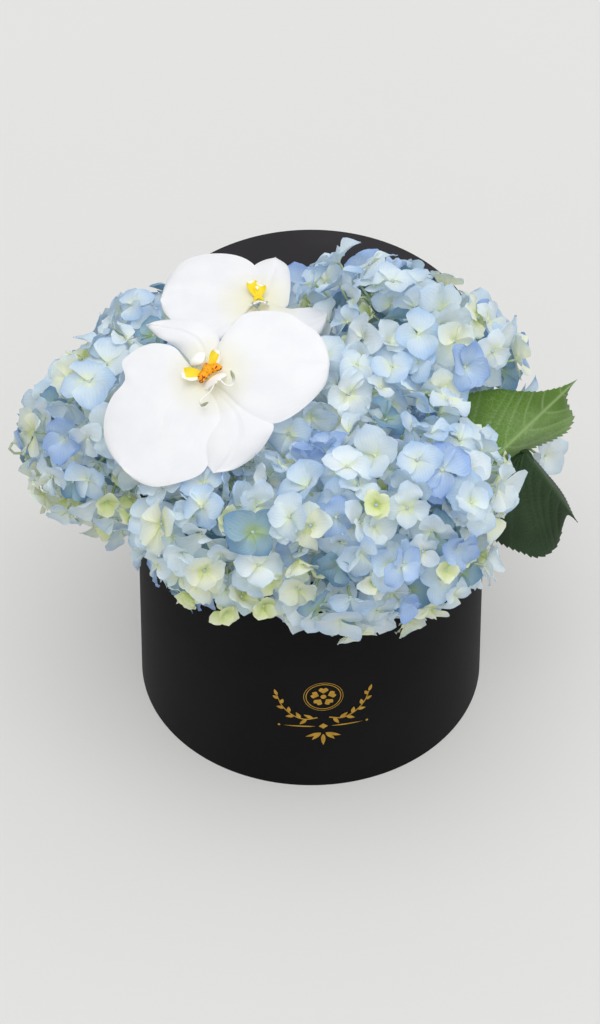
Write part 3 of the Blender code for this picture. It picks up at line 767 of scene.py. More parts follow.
# A floret faces outwards, but less up or down than that, and a little to the front and up.
FACING_SHARE = np.array((1.0, 1.0, 0.6))
FACING_LIFT = np.array((0.0, -0.22, 0.26))
VALLEY_WIDTH = 0.016  # florets this near to a border are raised, so the heads grow together
VALLEY_RISE = 0.007
TRIES = 16
SHRINKING = 0.25  # how much smaller a floret is by its last try
SINKING = 0.0030  # a floret in front of a petal or a leaf sinks this far before its next try
SLIDING = 0.0003  # and any floret slides in by about this much more with each try
OUTER_SHELLS = 2  # these have the finer sepals and the paler kinds; the darker kinds inside are painted shade
BOLD_SHARE = 0.36  # this share of the florets leans out of line
HANGING_BOLD_SHARE = 0.45  # and this share of those low on the heads
BOLD_LEAN = 1.9
CUPPED_SHARE = 0.14  # this share of the florets is half closed
NEIGHBOUR_REACH = 0.030  # florets nearer than this are tested for crossings
CLOSEST = 0.0060  # and no two of their middles are nearer than this
LIMB_ROOM = 0.0009  # florets stay this clear of petals, leaves and petioles
BOARD_ROOM = 0.0007

# How often each kind of floret is dealt out: on the outside of a head where it is blue and where it is
# green, and inside it where it is blue and where it is green. The darker kinds that prevail inside are
# painted shade in the heads' depths.
DEALS = {
    "ice": (3.8, 3.2, 0, 0),
    "mist": (5.4, 4.5, 1, 1),
    "sky": (4.8, 2.2, 2, 1.5),
    "blue": (1.7, 0.6, 3, 0.8),
    "cream": (0.8, 4, 0.3, 2),
    "lime": (0.25, 1.5, 0.5, 3.5),
    "teal": (1.0, 1.5, 6, 4),
}
GREENNESS = {"left": 1.1, "front_left": 0.85, "front": 0.4, "front_right": 0.45, "back_right": 0.05,
             "back_left": 0.0, "middle": 0.2}

# Florets with a place of their own: head, place, facing, kind, reach, how far it closes, and spin.
# The first stands on a long stalk past the leaves, and the others beside the back bloom.
PLACED = (
    ("back_right", (0.1220, 0.0380, 0.1165), (0.45, -0.70, 0.46), "ice", 0.0140, 0.35, 0.35),
    ("back_right", (-0.0035, 0.0690, 0.1970), (-0.30, -0.50, 0.81), "sky", 0.0140, 0.15, 0.3),
    ("back_right", (-0.0062, 0.0830, 0.1960), (-0.35, -0.25, 0.88), "blue", 0.0135, 0.10, 0.9),
    ("back_right", (0.0075, 0.0800, 0.2010), (-0.20, -0.30, 0.92), "mist", 0.0140, 0.15, 0.1),
)


def sepal(length, width, grid, chance):
    """Points and tones of one sepal that runs from the floret's middle along X and faces Z."""
    rows, columns = grid
    u = 0.5 - 0.5 * np.cos(math.pi * np.linspace(0.12, 1, rows))[:, None]
    u = (u - u[0]) / (1 - u[0])
    v = np.linspace(-1, 1, columns)[None, :]
    t = SEPAL_START + (SEPAL_END - SEPAL_START) * u
    half = 0.5 * width * np.sin(math.pi * t ** 1.08) ** (1.0 - 0.52 * t)
    bend = chance.gauss(0, 0.08)
    x = length * t * (1 - 0.07 * v ** 2 * t)
    y = half * v + bend * length * t ** 2
    rise = chance.uniform(0.05, 0.50)
    recurve = rise * chance.uniform(0.5, 1.5)
    cup = chance.uniform(-0.12, 0.30)
    fold = chance.uniform(-0.04, 0.14)
    ripple = chance.uniform(0.02, 0.085)
    waves = chance.uniform(1.2, 2.6)
    phase = chance.uniform(0, math.tau)
    z = length * (rise * t - recurve * t ** 2 + cup * v ** 2 * np.sin(math.pi * t ** 0.8)
                  + fold * np.abs(v) * np.sin(math.pi * t ** 0.7)
                  + ripple * v ** 2 * np.sin(math.tau * waves * t + phase + 1.3 * v))
    tone = np.clip(t + 0.10 * v ** 2, 0, 1)
    return np.stack([x, y, z], 2).reshape(-1, 3), tone.ravel()


def spun(points, turn, first=0, second=1):
    """Points turned from one axis to another by an angle, round Z unless the axes are given."""
    found = points.copy()
    a, b = points[:, first], points[:, second]
    found[:, first] = a * math.cos(turn) - b * math.sin(turn)
    found[:, second] = a * math.sin(turn) + b * math.cos(turn)
    return found


def floret(reach, closing, grid, chance):
    """Points and tones of a floret's sepals, in its own frame: it faces Z."""
    count = 5 if chance.random() < FIVE_SEPALS else 4
    sepals = []
    for k in range(count):
        length = reach * chance.uniform(*SEPAL_LENGTHS)
        width = length * chance.uniform(*SEPAL_WIDTHS) * (4 / count) ** 0.5
        points, tone = sepal(length, width, grid, chance)
        # Opposite sepals lie over the other two, and each is turned a little on its own axis.
        twist = math.radians(chance.uniform(*SEPAL_TWIST))
        tilt = closing + math.radians(chance.gauss(0, TILT_SPREAD))
        turn = math.tau * k / count + math.radians(chance.gauss(0, TURN_SPREAD))
        points = spun(spun(points, twist, 1, 2), tilt, 0, 2)
        points[:, 2] += OVERLAP * (k % 2)
        sepals.append((spun(points, turn), tone))
    return sepals


def ball(radius, squash, rings=4, sides=6):
    """Points and faces of a small round bead, in its own frame."""
    profile = [(radius * math.sin(math.pi * k / rings), -squash * radius * math.cos(math.pi * k / rings))
               for k in range(rings + 1)]
    profile[0] = (0, profile[0][1])
    profile[-1] = (0, profile[-1][1])
    return turned(profile, sides)


def head_axis(name):
    """The way a head faces: up, leaning out over the rim."""
    x, y, _ = HEADS[name][0]
    return unit((x / BOX_RADIUS * OUTWARD_TILT, y / BOX_RADIUS * OUTWARD_TILT, 1.0))


def clear_of_boards(points):
    """Whether points are off the box and the lid, and above the foam."""
    x, y, z = points.T
    out = np.hypot(x, y)
    in_wall = (out < BOX_RADIUS + BOARD_ROOM) & (out > BOX_RADIUS - BOARD - BOARD_ROOM)
    in_foam = (out < BOX_RADIUS) & (z < FOAM_TOP + BOARD_ROOM)
    in_disc = np.hypot(x, z - LID_MIDDLE) < LID_RADIUS + BOARD_ROOM
    in_lid = in_disc & (y > LID_FRONT - BOARD_ROOM) & (y < LID_BACK + BOARD_ROOM)
    return not (np.any(in_wall & (z < BOX_HEIGHT + BOARD_ROOM)) or np.any(in_foam) or np.any(in_lid))


def clear_of_limbs(place, points, limbs, shields):
    """Whether points are off every petal, leaf and petiole, and none hides a bloom or a leaf's face."""
    inward = Vector(-OUTWARD)
    for point in points[3::9]:
        if any(tree.ray_cast(Vector(point), inward)[0] is not None for tree in shields):
            return False
    if limbs.find_nearest(Vector(place), 0.020)[0] is None:
        return True
    return all(limbs.find_nearest(Vector(point), LIMB_ROOM)[0] is None for point in points[::4])


def surface_tree(pieces, shown=(-1.0, 0.0)):
    """A tree of the pieces' faces beyond a line in the photo: X at its foot, and its gain upwards."""
    points, faces = [], []
    for piece in pieces:
        first = len(points)
        points += [vertex.co.copy() for vertex in piece.data.vertices]
        for face in piece.data.polygons:
            if face.center.x > min(SHOWN_LIMIT, shown[0] + shown[1] * face.center.dot(Vector(UPWARD))):
                faces.append([first + corner for corner in face.vertices])
    return BVHTree.FromPolygons(points, faces)


def coarse_tree(shapes, grid):
    """A tree of a floret's sepals, of every second row and three columns."""
    rows, columns = grid
    spots, faces = [], []
    kept = (len(range(0, rows, 2)), 3)
    for index, shape in enumerate(shapes):
        coarse = shape.reshape(rows, columns, 3)[::2, ::columns // 2]
        spots += coarse.reshape(-1, 3).tolist()
        first = index * kept[0] * kept[1]
        faces += [tuple(first + corner for corner in face) for face in grid_faces(*kept)]
    return BVHTree.FromPolygons(spots, faces)


class Bouquet:
    """The florets placed so far, over all heads."""

    def __init__(self, limbs, shields):
        self.limbs, self.shields = limbs, shields
        self.places, self.trees = np.zeros((0, 3)), []

    def crossings(self, place, tree, best):
        """In how many pairs of faces a floret would cross those already placed."""
        found = 0
        for index in np.flatnonzero(np.linalg.norm(self.places - place, axis=1) < NEIGHBOUR_REACH):
            found += len(tree.overlap(self.trees[index]))
            if found >= best:
                break
        return found

    def keep(self, place, tree):
        self.places = np.vstack([self.places, place])
        self.trees.append(tree)


class Head:
    """One mophead: its stalk forks into rays, and each ray into pedicels that end in florets."""

    def __init__(self, name):
        self.name = name
        middle, self.radius, foot = HEADS[name]
        self.middle = np.array(middle)
        foot = np.array(foot)
        self.axis = head_axis(name)
        # The border with each other head is a plane: its normal to this side, and its offset
        others = [(np.array(centre), extent) for other, (centre, extent, _) in HEADS.items()
                  if other != name]
        self.others = np.array([centre for centre, _ in others])
        self.normals = self.middle - self.others
        apart = np.linalg.norm(self.normals, axis=1)
        self.normals /= apart[:, None]
        self.offsets = np.array([
            (centre.dot(centre) - self.middle.dot(self.middle) + self.radius ** 2 - extent ** 2) / (2 * gap)
            for (centre, extent), gap in zip(others, apart)])
        self.across, self.up = frame_along(self.axis)
        self.stalks, self.eyes = Pile(), Pile()
        self.kinds = {kind: Pile() for kind in SEPAL_COLOURS}
        flat = foot + (self.middle - foot) * STEM_REACH
        low = np.array((flat[0], flat[1], STEM_TOP))
        rise = unit(low - foot)
        fork = self.middle - self.axis * FORK_DEPTH * self.radius
        points = smooth_curve([low + rise * 0.0003, low + rise * STALK_RISE, fork], 8)
        self.stalks.add(*tube(points, np.linspace(STEM_RADIUS, 0.6 * STEM_RADIUS, 8), 8))
        rays = []
        for index in range(RAYS):
            direction = self.direction(index, RAYS, RAY_SPAN)
            end = self.moved_inside(self.middle + direction * RAY_REACH * self.radius, RAY_ROOM)
            bend = fork + (end - fork) * 0.5 + self.axis * 0.05 * self.radius
            self.stalks.add(*tube(smooth_curve([fork, bend, end], 5), np.linspace(*RAY_RADII, 5), 6))
            rays.append(end)
        self.rays = np.array(rays)

    def direction(self, index, places, span, turn=0.0):
        """One of a number of even directions round the axis, of which the nearest comes first."""
        tilt = math.acos(1 - span * (index + 0.5) / places)
        turn += math.pi * (3 - math.sqrt(5)) * index
        ring = self.across * math.cos(turn) + self.up * math.sin(turn)
        return self.axis * math.cos(tilt) + ring * math.sin(tilt)

    def dealt(self, direction, shell, chance):
        """The kind of floret for a place: paler and greener low on the heads, bluer and darker inside them,
        as painted shade.
        """
        first = 0 if shell < OUTER_SHELLS else 2
        green = min(1.0, max(0.0, GREENNESS[self.name] * (1.1 - direction[2])))
        kinds = sorted(DEALS)
        shares = [(1 - green) * DEALS[kind][first] + green * DEALS[kind][first + 1] for kind in kinds]
        return chance.choices(kinds, shares)[0]

    def moved_inside(self, point, reach):
        """A point moved straight away from each border of the head's space until it is a reach inside."""
        for _ in range(2):
            inside = self.normals @ point + self.offsets
            for index in np.flatnonzero(inside < reach):
                point = point + self.normals[index] * (reach - inside[index])
        return point

    def reach(self, direction):
        """How far the head reaches in a direction."""
        bulges = BULGES.get(self.name, ())
        return self.radius + sum(extra * max(0.0, direction.dot(unit(way))) ** sharpness
                                 for way, extra, sharpness in bulges)

    def raised(self, place):
        """A place near a border with another head, raised out of the valley, and the way up there."""
        nearness = 1 - (self.normals @ place + self.offsets) / VALLEY_WIDTH
        index = int(np.argmax(nearness))
        if nearness[index] <= 0:
            return place, np.zeros(3)
        up = unit(unit(place - self.middle) + unit(place - self.others[index]))
        return place + up * VALLEY_RISE * nearness[index], nearness[index] * up

    def try_floret(self, bouquet, index, shell, chance):
        """Grows the floret of a place in a shell, as it crosses its neighbours least, or none."""
        share, places, size_share, unevenness, leaning, crossings = SHELLS[shell]
        jitter = np.array([chance.gauss(0, unevenness) for _ in range(3)])
        direction = unit(self.direction(index, places, 2.0, shell) + jitter)
        if direction.dot(self.axis) < math.cos(CAP_ANGLE):
            return
        grid = OUTER_GRID if shell < OUTER_SHELLS else INNER_GRID
        kind = self.dealt(direction, shell, chance)
        young = kind == "lime"
        cupped = young or chance.random() < CUPPED_SHARE
        closing = math.radians(chance.uniform(*(CUPPED_CLOSING if cupped else OPEN_CLOSING)))
        reach = FLORET_REACH * size_share * (YOUNG_SIZE if young else chance.uniform(*FLORET_SIZES))
        sepals = floret(reach, closing, grid, chance)
        facing = direction * FACING_SHARE + FACING_LIFT
        cap = self.reach(direction) * share * chance.uniform(*CAP_SHARES)
        bold_share = HANGING_BOLD_SHARE if direction[2] < 0 else BOLD_SHARE
        leaning *= BOLD_LEAN if chance.random() < bold_share else 1.0
        best, chosen, sunk = crossings + 1, None, 0.0
        for attempt in range(TRIES):
            size = 1 - SHRINKING * attempt / TRIES
            lean = np.array([chance.gauss(0, leaning) for _ in range(3)])
            place = self.middle + direction * (cap - FLORET_DEPTH)
            place = self.moved_inside(place, reach * size * BORDER_REACH)
            place, up = self.raised(place)
            outward = unit(facing + up + lean)
            side, top = frame_along(outward)
            axes = np.stack([side, top, outward])
            spin = chance.uniform(0, math.tau)
            shapes = [spun(points, spin) * size @ axes for points, _ in sepals]
            spots = np.vstack(shapes)
            # The floret's outermost point lies on the head's surface, or a little inside.
            over = np.max(spots @ direction) - FLORET_DEPTH
            place = place - direction * (over + sunk + abs(chance.gauss(0, SLIDING * attempt)))
            if len(bouquet.places) and np.min(np.linalg.norm(bouquet.places - place, axis=1)) < CLOSEST:
                continue
            spots = spots + place
            if not clear_of_boards(spots):
                continue
            if not clear_of_limbs(place, spots, bouquet.limbs, bouquet.shields):
                sunk += SINKING
                continue
            tree = coarse_tree([shape + place for shape in shapes], grid)
            crossed = bouquet.crossings(place, tree, best)
            if crossed >= best:
                continue
            best, chosen = crossed, (place, [shape + place for shape in shapes], axes, size, tree)
            if not best:
                break
        if chosen is None:
            return
        place, shapes, axes, size, tree = chosen
        bouquet.keep(place, tree)
        self.add_floret(place, shapes, sepals, kind, axes, size, direction, grid, chance)

    def add_floret(self, place, shapes, sepals, kind, axes, size, direction, grid, chance):
        """Adds a floret's sepals, its eye and its pedicel."""
        rows, columns = grid
        for points, (_, tone) in zip(shapes, sepals):
            self.kinds[kind].add(points, grid_faces(rows, columns), tone, grid_spots(rows, columns),
                                 np.tile(np.linspace(-1, 1, columns), rows))
        bead, faces = ball(EYE_RADIUS * size, 0.8)
        bead = (bead + (0, 0, EYE_HEIGHT)) @ axes + place
        self.eyes.add(bead, faces, np.full(len(bead), chance.random()))
        root = self.rays[np.argmin(np.linalg.norm(self.rays - place, axis=1))]
        if direction[2] < HANGING:
            level = unit((direction[0], direction[1], HANGING_RISE))
            root = self.middle + level * RAY_REACH * self.radius
        under = place - unit(axes[2] + direction) * min(0.010, 0.4 * np.linalg.norm(place - root))
        self.stalks.add(*tube(smooth_curve([root, under, place], 5), np.linspace(*PEDICEL_RADII, 5), 5))

    def finish(self, materials):
        """Makes the head's pieces, which stand for its solid."""
        pieces = [self.stalks.to_object(f"{self.name}_stalks", materials["stalk"]),
                  self.eyes.to_object(f"{self.name}_eyes", materials["eye"])]
        for kind, pile in self.kinds.items():
            if pile.count:
                pieces.append(pile.to_object(f"{self.name}_sepals_{kind}", materials[kind]))
        for piece in pieces:
            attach(piece, "root")
        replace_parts(pieces[0], f"hydrangea_{self.name}")


def grow_heads(limbs, shields, materials):
    """Grows all heads together, shell by shell, after the florets that have a place of their own."""
    bouquet = Bouquet(limbs, shields)
    heads = {name: Head(name) for name in HEADS}
    chance = random.Random(SEED)
    for name, place, facing, kind, reach, closing, spin in PLACED:
        outward = unit(facing)
        axes = np.stack([*frame_along(outward), outward])
        sepals = floret(reach, closing, OUTER_GRID, chance)
        shapes = [spun(points, spin) @ axes + place for points, _ in sepals]
        bouquet.keep(np.array(place), coarse_tree(shapes, OUTER_GRID))
        heads[name].add_floret(np.array(place), shapes, sepals, kind, axes, 1.0,
                               np.array(place) - heads[name].middle, OUTER_GRID, chance)
    for shell, (_, places, *_) in enumerate(SHELLS):
        for index in range(places):
            for head in heads.values():
                head.try_floret(bouquet, index, shell, chance)
    for head in heads.values():
        head.finish(materials)


# ---- Orchids ----

TEPAL_ROWS, TEPAL_COLUMNS = 44, 30

# The two edges of each tepal in the bloom's own plane, in millimetres from its middle: both run from
# the hub to the tip. Last come how high the tepal lies and how far it bends away at its tip.
TEPALS = {
    "front": {
        "petal_left": (
            ((-5.5, 2.5), (-12, 9), (-18, 17), (-28, 20), (-36, 18), (-43, 13), (-45, 9), (-43.3, 0),
             (-50, -9), (-53.6, -20), (-53.6, -31), (-50, -41), (-44, -49)),
            ((-2, -5), (4, -15), (5.5, -25), (4.5, -36), (1, -46), (-4, -54), (-14, -58), (-27, -60),
             (-37, -56), (-44, -49)),
            1.2, 5.0),
        "petal_right": (
            ((-2, 5), (4, 17), (11, 27), (18, 34), (28.7, 35), (39.7, 33), (48, 27), (55.8, 20),
             (60, 12), (61.2, 3)),
            ((0, -3.4), (8, -10), (18, -20), (27, -26.6), (33, -28.3), (40, -26), (48, -20.5),
             (55, -13.5), (59.8, -6.2), (61.2, 3)),
            1.3, 5.0),
        "sepal_top": (
            ((-6, 2), (-11, 10), (-16, 16), (-21, 20), (-26, 23), (-30, 27), (-32.8, 30.4)),
            ((1, 5), (5, 15), (3, 25), (-5, 31), (-13, 33), (-21, 33), (-28, 32.4), (-32.8, 30.4)),
            -0.8, 2.0),
        "sepal_left": (
            ((-5, -5), (-12, -15), (-15, -29), (-12, -42), (-4.6, -49)),
            ((-1, -6), (3, -16), (5, -30), (3, -42), (-4.6, -49)),
            -1.4, 3.0),
        "sepal_right": (
            ((-2, -6), (-1.7, -19), (-2.6, -35), (-2.6, -46), (2, -54)),
            ((3, -5), (15, -13), (27, -20.5), (32.6, -29), (30.5, -36), (24, -45), (13, -52.5),
             (2, -54)),
            -0.3, 3.0),
    },
    "back": {
        "petal_left": (
            ((0, 3), (0, 13), (-0.5, 22), (-2.5, 28.5), (-8, 33.5), (-15, 36), (-23, 36.3), (-30, 35),
             (-38, 31), (-44, 23), (-48, 13), (-50.5, 1)),
            ((-3, -3), (-10, -13), (-19, -21), (-28, -24), (-37, -20), (-45, -13), (-49, -6),
             (-50.5, 1)),
            1.2, 3.0),
        "petal_right": (
            ((3, 3), (9, -1), (16, -4), (22, -3.5), (28, -3), (33, -4.8), (35.9, -7)),
            ((0, -4), (4, -16), (14, -27), (24, -28.5), (31, -23), (34.4, -16), (35.9, -7)),
            1.0, 2.0),
        "sepal_top": (
            ((-3, 2), (-6.3, 13), (-5.4, 23), (-2, 28), (3, 32), (9, 34)),
            ((3, 0), (10, -4), (15, -2), (16.3, 7), (16.6, 17), (15, 28), (9, 34)),
            0.2, 2.0),
        "sepal_left": (
            ((-4, -1), (-17, -8), (-29, -16), (-34, -26)),
            ((0, -5), (-8, -17), (-20, -28), (-34, -26)),
            -0.8, 2.0),
        "sepal_right": (
            ((-1, -5), (-4, -18), (0, -30), (9, -36)),
            ((4, -3), (13, -12), (17, -25), (9, -36)),
            -0.8, 2.0),
    },
}
TEPAL_THICK = 0.0006

LIP_THICK = 0.0006

# The lip of each bloom: the turn of its column and the spread of its side lobes in degrees, its size,
# half the width and the length of its left and right lobes, how far the yellow goes over them, how
# orange their feet are, the size of its callus, the tone there and its gain aside, and the girth of
# its column
LIPS = {
    "front": {"turn": 126, "spread": 24, "size": 1.0, "lobes": ((0.0030, 0.0112), (0.0023, 0.0100)),
              "yellow": 1.35, "orange": 0.86, "callus": 1.0, "callus_tone": (0.78, 60), "girth": 0.72},
    "back": {"turn": 96, "spread": 72, "size": 0.80, "lobes": ((0.0030, 0.0125), (0.0030, 0.0085)),
             "yellow": 2.6, "orange": 0.5, "callus": 0.5, "callus_tone": (0.45, 0), "girth": 0.18},
}
# The humps of a callus: place in the lip's frame, and radius
CALLUS_HUMPS = ((-0.0036, -0.0006, 0.0058, 0.0026), (0.0036, -0.0006, 0.0058, 0.0026),
                (0.0, 0.0006, 0.0056, 0.0030), (-0.0054, -0.0022, 0.0058, 0.0015),
                (0.0054, -0.0022, 0.0058, 0.0015), (0.0012, 0.0034, 0.0050, 0.0015))
COLUMN_ROUTE = ((0, 0.0100, 0.0000), (0, 0.0102, 0.0030), (0, 0.0086, 0.0064), (0, 0.0050, 0.0080))
COLUMN_POINTS = 16
TENDRIL_POINTS = 18
# The routes of the two tendrils in the lip's frame
TENDRILS = {
    "front": (((0.0014, -0.0086, 0.0084), (0.0020, -0.0126, 0.0078), (0.0044, -0.0150, 0.0076),
               (0.0072, -0.0130, 0.0080), (0.0086, -0.0086, 0.0090)),
              ((-0.0014, -0.0086, 0.0084), (-0.0060, -0.0106, 0.0070), (-0.0122, -0.0112, 0.0066),
               (-0.0138, -0.0140, 0.0070), (-0.0104, -0.0152, 0.0080))),
    "back": (((0.0014, -0.0086, 0.0084), (0.0034, -0.0092, 0.0080), (0.0050, -0.0080, 0.0080)),
             ((-0.0014, -0.0086, 0.0084), (-0.0034, -0.0092, 0.0080), (-0.0050, -0.0080, 0.0080))),
}


def bloom_axes(name):
    """The bloom's middle, and its axes as rows: X to the right, Y up its face and Z the way it faces."""
    middle, facing = BLOOMS[name]
    z_axis = unit(facing)
    x_axis = unit(np.array((1.0, 0, 0)) - z_axis * z_axis[0])
    return np.array(middle), np.stack([x_axis, np.cross(z_axis, x_axis), z_axis])


def tepal(name, kind):
    """Grid of points of a tepal, its cream foot as tones, and the places across it."""
    left, right, height, bending = TEPALS[name][kind]
    middle, axes = bloom_axes(name)
    left = smooth_curve(np.array(left) / 1000, TEPAL_ROWS)
    right = smooth_curve(np.array(right) / 1000, TEPAL_ROWS)
    v = np.linspace(0, 1, TEPAL_COLUMNS)[None, :]
    u = np.linspace(0, 1, TEPAL_ROWS)[:, None]
    flat = left[:, None] * (1 - v)[..., None] + right[:, None] * v[..., None]
    side = 2 * v - 1
    reach = np.linalg.norm(flat, axis=2)
    chance = random.Random(kind + name)
    phase = [chance.uniform(0, math.tau) for _ in range(4)]
    lift = height / 1000 - bending / 1000 * (reach / reach.max()) ** 2
    # A swell, two waves, a crease down the middle, and edges that turn away
    lift += 0.0020 * np.sin(math.pi * u) * (1 - side ** 2)
    lift += 0.0012 * u * np.sin(2.1 * math.pi * u + phase[0] + 1.6 * side)
    lift += 0.0009 * side ** 2 * np.sin(4.3 * math.pi * u + phase[1])
    lift -= 0.0007 * np.exp(-(side / 0.10) ** 2) * np.sin(math.pi * u)
    lift -= 0.0010 * np.abs(side) ** 6
    points = middle + flat @ axes[:2] + OUTWARD * lift[..., None]
    tone = np.clip(1.15 - reach / 0.021, 0, 1)
    return points, tone, side + 0 * u


def thick_sheet(points, thickness):
    """Points and faces of a closed sheet below a grid of points, thinner at its edges."""
    rows, columns = points.shape[:2]
    along = np.gradient(points, axis=0)
    across = np.gradient(points, axis=1)
    normal = np.cross(along, across)
    normal /= np.linalg.norm(normal, axis=2, keepdims=True) + 1e-12
    u = np.linspace(0, 1, rows)[:, None, None]
    v = np.linspace(-1, 1, columns)[None, :, None]
    depth = thickness * (0.3 + 0.7 * (1 - v ** 4) * (1 - u ** 8))
    below = points - normal * depth
    count = rows * columns
    faces = grid_faces(rows, columns)
    faces += [tuple(count + corner for corner in reversed(face)) for face in grid_faces(rows, columns)]
    rim = list(range(columns - 1))
    rim += [i * columns + columns - 1 for i in range(rows - 1)]
    rim += [(rows - 1) * columns + j for j in range(columns - 1, 0, -1)]
    rim += [i * columns for i in range(rows - 1, 0, -1)]
    for first, second in zip(rim, rim[1:] + rim[:1]):
        faces.append((first, second, count + second, count + first))
    return np.vstack([points.reshape(-1, 3), below.reshape(-1, 3)]), faces


def facing_side(points, values, towards):
    """A grid and its values, mirrored where the grid's face looks the wrong way."""
    row, column = points.shape[0] // 2, points.shape[1] // 2
    corner = points[row, column]
    normal = np.cross(points[row + 1, column] - corner, points[row, column + 1] - corner)
    if normal.dot(towards) < 0:
        return points[:, ::-1], [value[:, ::-1] for value in values]
    return points, values


def add_sheet(pile, points, tone, side, towards, thickness):
    points, (tone, side) = facing_side(points, (tone, side), towards)
    thick, faces = thick_sheet(points, thickness)
    rows, columns = points.shape[:2]
    spots = grid_spots(rows, columns)
    # The upper side lies left on the map and the lower side right.
    spots = np.vstack([spots * (0.48, 1.0), spots * (0.48, 1.0) + (0.52, 0.0)])
    pile.add(thick, faces, np.tile(tone.ravel(), 2), spots, np.tile(side.ravel(), 2))


def lip_axes(name):
    """Axes of a bloom's lip as rows: its column lies to +Y, and it faces Z as the bloom does."""
    middle, axes = bloom_axes(name)
    turn = math.radians(LIPS[name]["turn"] - 90)
    return middle, np.array(((math.cos(turn), math.sin(turn), 0), (-math.sin(turn), math.cos(turn), 0),
                             (0, 0, 1))) @ axes


def on_lip(name, points):
    """Points of a lip's own frame, at its size and place."""
    middle, axes = lip_axes(name)
    return points * LIPS[name]["size"] @ axes + middle


def make_lip(name, pile):
    """Two side lobes that spread like wings, and a narrow lobe between them that points forward."""
    lip = LIPS[name]
    _, axes = lip_axes(name)
    u = np.linspace(0, 1, 20)[:, None]
    v = np.linspace(-1, 1, 14)[None, :]
    slant = math.radians(lip["spread"])
    for side, (broad, long) in zip((-1, 1), lip["lobes"]):
        along = np.array((side * math.cos(slant), math.sin(slant)))
        across = np.array((-side * math.sin(slant), math.cos(slant)))
        half = 0.0009 + broad * np.sin(math.pi * np.clip(u, 0, 0.97) ** 1.35) ** 0.62
        length = 0.0022 + long * u
        flat = length[..., None] * along + (half * v + 0.0008 * u)[..., None] * across
        rise = 0.0030 + 0.0042 * u + 0.0022 * v ** 2 * u - 0.0016 * u ** 3
        points = np.concatenate([flat, (rise + 0 * v)[..., None]], axis=2)
        yellow = 0.5 * np.clip(lip["yellow"] + 1.6 * v, 0, 1) * np.clip(6 - 6.2 * u, 0, 1)
        tone = np.maximum(yellow, lip["orange"] * np.clip(1 - 2.2 * u, 0, 1) + 0 * v)
        add_sheet(pile, on_lip(name, points), tone, v + 0 * u, axes[2], LIP_THICK)
    half = 0.0030 + 0.0030 * np.sin(math.pi * u ** 0.8)
    half = half * (1 - u ** 4) + 0.0008
    points = np.stack([half * v, -0.0030 - 0.0062 * u - 0.0010 * u * v ** 2 + 0 * v,
                       0.0048 + 0.0052 * u - 0.0042 * v ** 2 * np.sin(math.pi * np.clip(u + 0.1, 0, 1))], 2)
    tone = np.clip(0.60 - 1.9 * u, 0, 1) * (1 - 0.5 * v ** 2)
    add_sheet(pile, on_lip(name, points), tone, v + 0 * u, axes[2] - axes[1], LIP_THICK)


def make_callus(name, pile):
    """The humped callus at the foot of the lip."""
    share = LIPS[name]["callus"]
    tone, gain = LIPS[name]["callus_tone"]
    for x, y, z, radius in CALLUS_HUMPS:
        points, faces = ball(radius, 0.9, 10, 14)
        points = points * (1.15, 0.95, 1.0) * share + (x * share, y, z - 0.003 * (1 - share))
        pile.add(on_lip(name, points), faces, np.full(len(points), min(1.0, tone + gain * abs(x))))


def make_tendrils(name, pile):
    """The two curled threads that end the lip, thicker and darker to their ends."""
    radii = np.interp(np.arange(TENDRIL_POINTS), (0, 8, 15, 17), (0.0004, 0.0004, 0.0009, 0.0003))
    tones = np.repeat(np.clip(np.linspace(-2.0, 1.6, TENDRIL_POINTS), 0, 1), 8)
    for route in TENDRILS[name]:
        points, faces = tube(smooth_curve(route, TENDRIL_POINTS), radii, 8)
        pile.add(on_lip(name, points), faces, tones)


def make_column(name, pile):
    """The hooded column over the lip."""
    girth = LIPS[name]["girth"]
    radii = girth * (0.0030 + 0.0014 * np.sin(np.linspace(0, 0.9 * math.pi, COLUMN_POINTS)))
    radii[-4:] = np.array((0.0034, 0.0027, 0.0018, 0.0007)) * girth
    points, faces = tube(smooth_curve(COLUMN_ROUTE, COLUMN_POINTS), radii, 20)
    tones = np.repeat(np.linspace(0, 1, COLUMN_POINTS), 20)
    pile.add(on_lip(name, points * (1.45, 1.0, 0.85)), faces, tones)


def make_bloom(name, materials):
    _, axes = bloom_axes(name)
    tepals, lip, callus, tendrils, column = (Pile() for _ in range(5))
    for kind in TEPALS[name]:
        add_sheet(tepals, *tepal(name, kind), axes[2], TEPAL_THICK)
    make_lip(name, lip)
    make_callus(name, callus)
    make_tendrils(name, tendrils)
    make_column(name, column)
    pieces = [tepals.to_object(f"orchid_{name}_tepals", materials["petal"]),
              lip.to_object(f"orchid_{name}_lip", materials["lip"]),
              callus.to_object(f"orchid_{name}_callus", materials["lip"]),
              tendrils.to_object(f"orchid_{name}_tendrils", materials["tendril"]),
              column.to_object(f"orchid_{name}_column", materials["column"])]
    for piece in pieces:
        piece.data.set_sharp_from_angle(angle=math.radians(50))
        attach(piece, "root")
    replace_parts(pieces[0], f"orchid_{name}")
    return pieces


# ---- Leaves ----

# Florets stay off the part of a leaf beyond a line: X at its foot, and its gain upwards
LEAF_SHOWN = {"upper": (0.1912, -0.806), "lower": (0.0395, 0.81)}
SHOWN_LIMIT = 0.110  # and off all of it beyond this X

